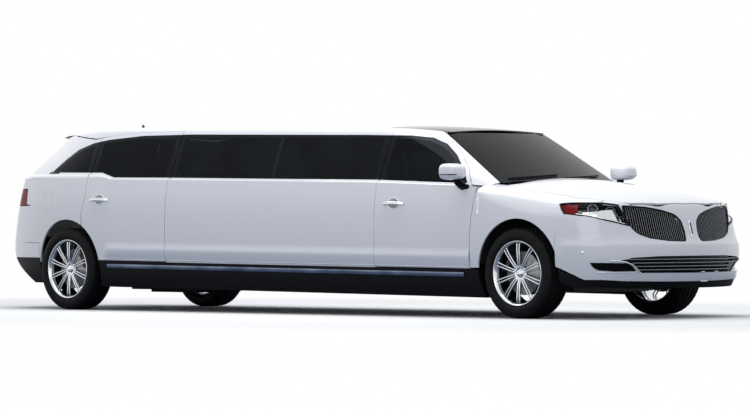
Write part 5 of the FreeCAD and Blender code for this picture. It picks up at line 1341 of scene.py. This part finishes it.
for name, part, finish in (("lens", lens, lamp_clear), ("tray", tray, chrome), ("rim", tray_rim, gloss_black),
                           ("bowls", bowls, chrome), ("projectors", balls, lamp_glass),
                           ("marker", marker, lamp_red)):
    piece = add_piece(f"headlamp_{name}", joined([part, flipped(part)]), finish, "body")
    if name == "lens":
        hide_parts("headlamps")

# %% [markdown]
# ## Mirrors and handles
# The mirror is a moulded shell with a flat glass at its back, on a short foot at the door's front corner.
# The handle is a bright bar that bows out over a shallow cup, so fingers reach behind it.

# %% Door furniture
MIRROR_CENTRE, MIRROR_HALF = (2213.0, 1057.0, 1199.0), (104.0, 106.0, 68.0)


def egg(centre, half, power=0.62, flat_back=0.62, rows=28, around=44):
    """A boxy egg whose back is cut flat."""
    rise = np.linspace(-math.pi / 2, math.pi / 2, rows)
    phi, theta = np.meshgrid(rise, np.linspace(0, 2 * math.pi, around, endpoint=False), indexing="ij")

    def soft(values):
        return np.sign(values) * np.abs(values) ** power

    x, y = soft(np.sin(phi)), soft(np.cos(phi)) * soft(np.cos(theta))
    z = soft(np.cos(phi)) * soft(np.sin(theta))
    taper = 1 - 0.16 * np.clip(x, 0, 1)
    points = np.stack([np.maximum(x, -flat_back) * half[0], y * half[1] * taper, z * half[2] * taper], 2)
    points = points + centre
    faces = [(i * around + k, i * around + (k + 1) % around,
              (i + 1) * around + (k + 1) % around, (i + 1) * around + k)
             for i in range(rows - 1) for k in range(around)]
    return points.reshape(-1, 3), [face[::-1] for face in faces], None


shell = egg(MIRROR_CENTRE, MIRROR_HALF)
rim_turn = np.linspace(0, 2 * math.pi, 60, endpoint=False)
rim_y = np.sign(np.cos(rim_turn)) * np.abs(np.cos(rim_turn)) ** 0.5 * 88 + MIRROR_CENTRE[1]
rim_z = np.sign(np.sin(rim_turn)) * np.abs(np.sin(rim_turn)) ** 0.5 * 53 + MIRROR_CENTRE[2]
back_x = MIRROR_CENTRE[0] - MIRROR_HALF[0] * 0.62
rim_path = np.stack([np.full(60, back_x), rim_y, rim_z], 1)
mirror_rim = swept(rim_path, (-1, 0, 0), pill(9, 5, 0.45), closed=True)
plate_points = np.concatenate([[[back_x - 1.5, MIRROR_CENTRE[1], MIRROR_CENTRE[2]]], rim_path - [1.5, 0, 0]])
mirror_plate = (plate_points, [(0, 1 + (k + 1) % 60, 1 + k) for k in range(60)],
                np.tile([-1.0, 0, 0], (61, 1)))
foot_path = np.array([(2232, 926, 1056), (2228, 962, 1072), (2222, 1000, 1104), (2218, 1030, 1150)], float)
mirror_foot = swept(foot_path, (1, 0, 0.2), pill(34, 86, 0.4), scales=(1.1, 1.0, 0.9, 0.8))
mirror_foot = (mirror_foot[0] - [40, 0, 0], mirror_foot[1], mirror_foot[2])
seam_x = np.linspace(-0.55, 0.9, 24)
seam_y = np.sqrt(np.clip(1 - np.abs(seam_x) ** 3.2, 0, 1)) * MIRROR_HALF[1] * 1.0
seam = np.stack([seam_x * MIRROR_HALF[0] + MIRROR_CENTRE[0], seam_y * 0.97 + MIRROR_CENTRE[1],
                 np.full(24, MIRROR_CENTRE[2] - 26.0)], 1)
mirror_seam = swept(seam, (0, 1, 0), pill(7, 4, 0.45))
HANDLES = [("front_door", 1433, 938), ("rear_door", -2266, 988)]


def handle(x, z):
    """Bright bar, its cup and its ring, on the side skin."""
    line = [(x - 112, z - 2), (x - 92, z), (x - 50, z + 2), (x, z + 3), (x + 50, z + 2), (x + 92, z),
            (x + 112, z - 2)]
    path, ups = along_skin(side_grid, on_skin(side_grid, line, "side"), 2.5)
    path = path + ups * np.array([2, 22, 33, 36, 33, 22, 2])[:, None]
    bar = swept(path, ups, pill(27, 13, 0.45), scales=(0.8, 1, 1, 1, 1, 1, 0.8))
    turn = np.linspace(0, 2 * math.pi, 40, endpoint=False)
    oval = [(x + 62 * math.cos(a), z + 2 + 46 * math.sin(a)) for a in turn]
    ring_places = on_skin(side_grid, oval, "side")
    ring_path, ring_ups = along_skin(side_grid, ring_places, 2.6)
    ring_part = swept(ring_path, ring_ups, pill(6, 3, 0.45), closed=True)
    cup = cut_skin(side_grid, [ring_places], lift=3.1, fold=0, depth=1)
    return joined([bar, ring_part]), cup


for side_name, turn in (("left", lambda part: part), ("right", flipped)):
    body = f"front_door_{side_name}"
    side_shell = turn((shell[0], shell[1], np.zeros_like(shell[0])))[:2] + (None,)
    head = add_piece(f"mirror_shell_{side_name}", side_shell, pearl_paint, body)
    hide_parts(f"mirror_{side_name}")
    add_piece(f"mirror_glass_{side_name}", turn(mirror_plate), chrome, body)
    mirror_trim = joined([mirror_rim, mirror_foot, mirror_seam])
    add_piece(f"mirror_trim_{side_name}", turn(mirror_trim), gloss_black, body)
    for owner, x, z in HANDLES:
        bar, cup = handle(x, z)
        add_piece(f"{owner}_handle_{side_name}", turn(bar), chrome, f"{owner}_{side_name}")
        add_piece(f"{owner}_cup_{side_name}", turn(cup), cup_shade, f"{owner}_{side_name}")
print("handles and mirrors", len(shell[1]))

# %% [markdown]
# ## Trim along the sides
# A broad bright strip runs along the dark sill, and a thin one under the doors hides the edge of the paint.
# A bare upright ornament sits behind each front wheel, where cars of this kind carry a name.

# %% Side strips and small parts
def side_strip(x_from, x_to, level, section, lift):
    line = [(x, level - 0.01 * x) for x in np.linspace(x_from, x_to, max(8, int(abs(x_to - x_from) / 40)))]
    path, ups = along_skin(side_grid, on_skin(side_grid, line, "side"), lift)
    return swept(path, ups, section)


for side_name, turn in (("left", lambda part: part), ("right", flipped)):
    sill_strip = side_strip(-2170, 2232, 378, pill(36, 7, 0.3), 1.0)
    add_piece(f"sill_strip_{side_name}", turn(sill_strip), sill_metal_painted_reflection, "body")
    for owner, low, high in (("front_door", 1216, 2296), ("stretch", -1380, 1205),
                             ("rear_door", -2268, -1393)):
        body = "body" if owner == "stretch" else f"{owner}_{side_name}"
        foot_strip = side_strip(low, high, 439, pill(6, 4, 0.45), 2.6)
        add_piece(f"{owner}_foot_strip_{side_name}", turn(foot_strip), chrome, body)
    badge_line = [(2399 - k * 0.4, z) for k, z in enumerate(np.linspace(852, 986, 9))]
    path, ups = along_skin(side_grid, on_skin(side_grid, badge_line, "side"), 2.4)
    badge = swept(path, ups, pill(26, 7, 0.4), scales=(0.55, 0.8, 0.95, 1, 1, 1, 0.95, 0.8, 0.55))
    inlay = swept(path[2:-2], ups[2:-2], pill(8, 8.2, 0.45))
    add_piece(f"wing_ornament_{side_name}", turn(badge), chrome, "body")
    add_piece(f"wing_ornament_inlay_{side_name}", turn(inlay), gloss_black, "body")
sensor = joined([aimed(lathed([(0, 11), (2, 10), (3, 7), (3, 0)], 24, closed=False),
                       (3503 + 8, 905 + 14, 540),
                       (0.5, 0.86, 0))])
add_piece("bumper_sensors", joined([sensor, flipped(sensor)]), chrome, "body")


def wiper(points):
    path, ups = along_skin(house_front, on_skin(house_front, points, "front", ahead_of=1500), 9)
    return joined([swept(path, ups, pill(7, 6, 0.4)), swept(path - ups * 7, ups, pill(4, 8, 0.4))])


def straight(a, b, count):
    return [tuple(np.array(a) * (1 - t) + np.array(b) * t) for t in np.linspace(0, 1, count)]


add_piece("wipers", joined([wiper(straight((-610, 1136), (-60, 1166), 14)),
                            wiper(straight((-20, 1140), (520, 1162), 14))]), cladding, "body")
fin = lathed([(0, 0), (0, 15), (6, 14), (12, 8), (26, 4), (30, 2), (30, 0)], 20, closed=False)
roof_z = float(crown_height(ROOF_STATIONS, np.array([-2728.0]), np.array([0.0]))[0])
add_piece("roof_aerial", aimed(fin, (-2728, 0, roof_z + 25), (-0.35, 0, 0.94)), cladding, "body")
lip_y = np.linspace(-330, 330, 21)
lip_x = -3436 + np.abs(lip_y) ** 2 / 6000
lip = np.stack([lip_x, lip_y, crown_height(ROOF_STATIONS, lip_x, lip_y) + 34], 1)
lip_sizes = np.interp(np.abs(lip_y), (0, 280, 330), (1, 1, 0.6))
add_piece("roof_spoiler", swept(lip, (-0.3, 0, 1), pill(84, 10, 0.45), scales=lip_sizes), gloss_black,
          "liftgate")
plate = swept([(-3862, 0, 774), (-3862, 0, 850), (-3862, 0, 926)], (-1, 0, 0), pill(305, 3.5, 0.4))
add_piece("blank_plate", plate, plate_sheet, "liftgate")
tip = lathed([(-60, 36), (58, 40), (62, 43), (65, 40), (60, 37), (-60, 33)], 48)
add_piece("tailpipe_tip", aimed(tip, (-3800, -360, 326), (-0.981, 0, -0.19)), chrome, "body")

# %% [markdown]
# ## Seats
# A car seat is foam under a stitched leather cover, so its cushions swell between the seams. Each pad starts
# as a slightly small block with soft edges. It is remeshed and blown up a little as cloth, which gives the
# crown and the drawn-in corners, and the shape is kept.

# %% Padded seats
PAD_CAP = 0.012


def pad_mesh(name, size, voxel):
    """A cushion round the origin: a soft block, remeshed, and inflated as cloth."""
    shape = bmesh.new()
    bmesh.ops.create_cube(shape, size=1.0)
    bmesh.ops.scale(shape, vec=[value * MM for value in size], verts=shape.verts)
    bmesh.ops.bevel(shape, geom=shape.edges[:], offset=min(size) * MM * 0.3, segments=4, affect="EDGES",
                    profile=0.6)
    mesh = bpy.data.meshes.new(name)
    shape.to_mesh(mesh)
    shape.free()
    thing = bpy.data.objects.new(name, mesh)
    bpy.context.scene.collection.objects.link(thing)
    remesh = thing.modifiers.new("remesh", "REMESH")
    remesh.mode, remesh.voxel_size = "VOXEL", voxel
    graph = bpy.context.evaluated_depsgraph_get()
    even = bpy.data.meshes.new_from_object(thing.evaluated_get(graph))
    thing.modifiers.clear()
    thing.data = even
    before = np.array([v.co[:] for v in even.vertices])
    cloth = thing.modifiers.new("cloth", "CLOTH")
    cloth.settings.use_pressure = True
    cloth.settings.uniform_pressure_force = 4.0
    cloth.settings.effector_weights.gravity = 0.0
    for number in range(1, 21):
        bpy.context.scene.frame_set(number)
    graph = bpy.context.evaluated_depsgraph_get()
    blown = bpy.data.meshes.new_from_object(thing.evaluated_get(graph))
    after = np.array([v.co[:] for v in blown.vertices])
    thing.modifiers.clear()
    bpy.context.scene.frame_set(1)
    move = after - before
    length = np.maximum(np.linalg.norm(move, axis=1, keepdims=True), 1e-9)
    before = before + move * np.minimum(1, PAD_CAP / length)
    points, faces = before * 1000, [tuple(p.vertices) for p in even.polygons]
    bpy.data.objects.remove(thing)
    return points, faces


def pad(name, size, place, tilt, body="body", channels=0, fine=True):
    """A finished pad: turned about Y by the tilt, with sewn channels across it."""
    points, faces = pad_mesh(name + "_block", size, 0.018 if fine else 0.022)
    if channels:
        wave = np.cos(points[:, 1] / size[1] * 2 * math.pi * channels)
        top = points[:, 2] > size[2] * 0.2
        points[top, 2] += wave[top] * 2.5 - 2.5
    angle = math.radians(tilt)
    turn = np.array([[math.cos(angle), 0, math.sin(angle)], [0, 1, 0],
                     [-math.sin(angle), 0, math.cos(angle)]])
    thing = add_piece(name, (points @ turn.T + np.asarray(place, float), faces, None), leather, body)
    sub = thing.modifiers.new("subdivision", "SUBSURF")
    sub.levels = sub.render_levels = 1 if fine else 0
    return thing


for side_name, side in (("left", 1), ("right", -1)):
    y = side * 370
    pad(f"front_cushion_{side_name}", (500, 470, 130), (1590, y, 462), -6, channels=3)
    pad(f"front_back_{side_name}", (110, 450, 560), (1335, y, 790), -12)
    pad(f"front_headrest_{side_name}", (80, 250, 150), (1262, y, 1045), -12)
    pad(f"front_seat_base_{side_name}", (430, 390, 150), (1565, y, 330), 0)
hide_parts("front_seats")
for number, y in enumerate((-515, 0, 515)):
    pad(f"bench_cushion_{number}", (560, 500, 160), (-1790, y, 520), -2, channels=3,
                          fine=False)
    pad(f"bench_back_{number}", (120, 500, 480), (-2070, y, 830), -13, fine=False)
for number, x in enumerate((-1290, -760, -230, 300)):
    pad(f"side_cushion_{number}", (515, 360, 160), (x, 470, 530), 0, fine=False)
    pad(f"side_back_{number}", (515, 70, 430), (x, 705, 830), 0, fine=False)
pad("bench_plinth_rear", (560, 1500, 185), (-1850, 0, 350), 0, fine=False)
pad("bench_plinth_side", (2080, 450, 185), (-500, 520, 350), 0, fine=False)
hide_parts("cabin_bench")

# %% [markdown]
# ## Finishes of the engineering parts
# The parts that stay as they came from the engineering model get their real finishes too: sealed floor, cast
# suspension, coated tank, moulded dashboard.

# %% Finish every part that is kept
FINISHES = [
    (sealer, "floor_pan"), (cladding, "rocker_panels", "fuel_tank"), (cast_iron, "engine", "knuckle_left",
    "knuckle_right", "subframes"), (exhaust_steel, "exhaust"), (trim_plastic, "dashboard", "partition"),
    (pearl_paint, "stretch_panels", "front_door_left", "front_door_right",
     "rear_door_left", "rear_door_right",
     "fuel_door"),
]
for finish, *names in FINISHES:
    for name in names:
        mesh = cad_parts[name].data
        mesh.materials.clear()
        mesh.materials.append(finish)
hidden_finish = {"tyre": rubber, "rim": chrome, "glass": privacy_glass}
for name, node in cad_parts.items():
    if any(name in row[1:] for row in FINISHES):
        continue
    finish = next((value for key, value in hidden_finish.items() if key in name), pearl_paint)
    node.data.materials.clear()
    node.data.materials.append(finish)
print("finished", len(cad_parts), "parts")

# %% [markdown]
# ## Studio
# A pale floor that takes a soft shadow, a white surround, a wide soft box overhead and a weaker one beside it.
# The lens sees the floor pale, while the light that it throws back up is blue-grey, so the sills stay cool.

# %% Floor, world and lamps
floor_material = bpy.data.materials.new("studio_floor")
floor_material.use_nodes = True
tree = floor_material.node_tree
shader = tree.nodes["Principled BSDF"]
shader.inputs["Roughness"].default_value = 0.9
place = add_node(tree, "ShaderNodeTexCoord")
wear = add_node(tree, "ShaderNodeTexNoise", {"Scale": 0.6}, {"Vector": (place, "Object")})
tint = add_node(tree, "ShaderNodeValToRGB", {"stops": [(0.3, "#F4F4F5"), (0.7, "#F8F8F9")]},
                {"Fac": (wear, "Fac")})
seen_floor = add_node(tree, "ShaderNodeLightPath")
bounce = add_node(tree, "ShaderNodeMix", {"data_type": "RGBA"})
bounce.inputs[6].default_value = linear("#6F7A8E")
tree.links.new(seen_floor.outputs["Is Camera Ray"], bounce.inputs[0])
tree.links.new(tint.outputs["Color"], bounce.inputs[7])
tree.links.new(bounce.outputs[2], shader.inputs["Base Color"])
spread = add_node(tree, "ShaderNodeMapping", {"Scale": (0.115, 0.2, 1.0)}, {"Vector": (place, "Object")})
ball = add_node(tree, "ShaderNodeTexGradient", {"gradient_type": "SPHERICAL"}, {"Vector": (spread, "Vector")})
fade = add_node(tree, "ShaderNodeValToRGB", {"stops": [(0.0, "#000000"), (0.45, "#FFFFFF")]},
                {"Fac": (ball, "Color")})
clear = add_node(tree, "ShaderNodeBsdfTransparent")
mix = add_node(tree, "ShaderNodeMixShader", {}, {"Fac": (fade, "Color")})
tree.links.new(clear.outputs["BSDF"], mix.inputs[1])
tree.links.new(shader.outputs["BSDF"], mix.inputs[2])
tree.links.new(mix.outputs["Shader"], tree.nodes["Material Output"].inputs["Surface"])
floor_mesh = bpy.data.meshes.new("studio_floor")
floor_mesh.from_pydata([(-14, -14, 0), (14, -14, 0), (14, 14, 0), (-14, 14, 0)], [], [(0, 1, 2, 3)])
floor = bpy.data.objects.new("studio_floor", floor_mesh)
bpy.context.scene.collection.objects.link(floor)
floor.data.materials.append(floor_material)

world = bpy.data.worlds.new("studio")
bpy.context.scene.world = world
world.use_nodes = True
tree = world.node_tree
light_path = add_node(tree, "ShaderNodeLightPath")
seen = add_node(tree, "ShaderNodeMath", {"operation": "MAXIMUM"})
tree.links.new(light_path.outputs["Is Camera Ray"], seen.inputs[0])
tree.links.new(light_path.outputs["Is Glossy Ray"], seen.inputs[1])
also = add_node(tree, "ShaderNodeMath", {"operation": "MAXIMUM"})
tree.links.new(seen.outputs["Value"], also.inputs[0])
tree.links.new(light_path.outputs["Is Transmission Ray"], also.inputs[1])
white = add_node(tree, "ShaderNodeBackground", {"Color": (1, 1, 1, 1), "Strength": 1.0})
fill = add_node(tree, "ShaderNodeBackground", {"Color": (0.88, 0.93, 1.0, 1), "Strength": 0.52})
mix = add_node(tree, "ShaderNodeMixShader", {}, {"Fac": (also, "Value")})
tree.links.new(fill.outputs["Background"], mix.inputs[1])
tree.links.new(white.outputs["Background"], mix.inputs[2])
tree.links.new(mix.outputs["Shader"], tree.nodes["World Output"].inputs["Surface"])


def soft_box(name, place, aim, width, height, power):
    lamp = bpy.data.lights.new(name, "AREA")
    lamp.shape, lamp.size, lamp.size_y, lamp.energy = "RECTANGLE", width, height, power
    thing = bpy.data.objects.new(name, lamp)
    bpy.context.scene.collection.objects.link(thing)
    thing.location = place
    thing.rotation_euler = (Vector(aim) - Vector(place)).to_track_quat("-Z", "Y").to_euler()


soft_box("overhead_box", (0.0, -0.5, 6.0), (0, 0, 0), 9.0, 4.0, 360)
soft_box("side_box", (5.0, -9.0, 3.2), (0.3, 0, 0.7), 8.0, 3.0, 90)

# %% Set the view transform
bpy.context.scene.view_settings.view_transform = "Standard"
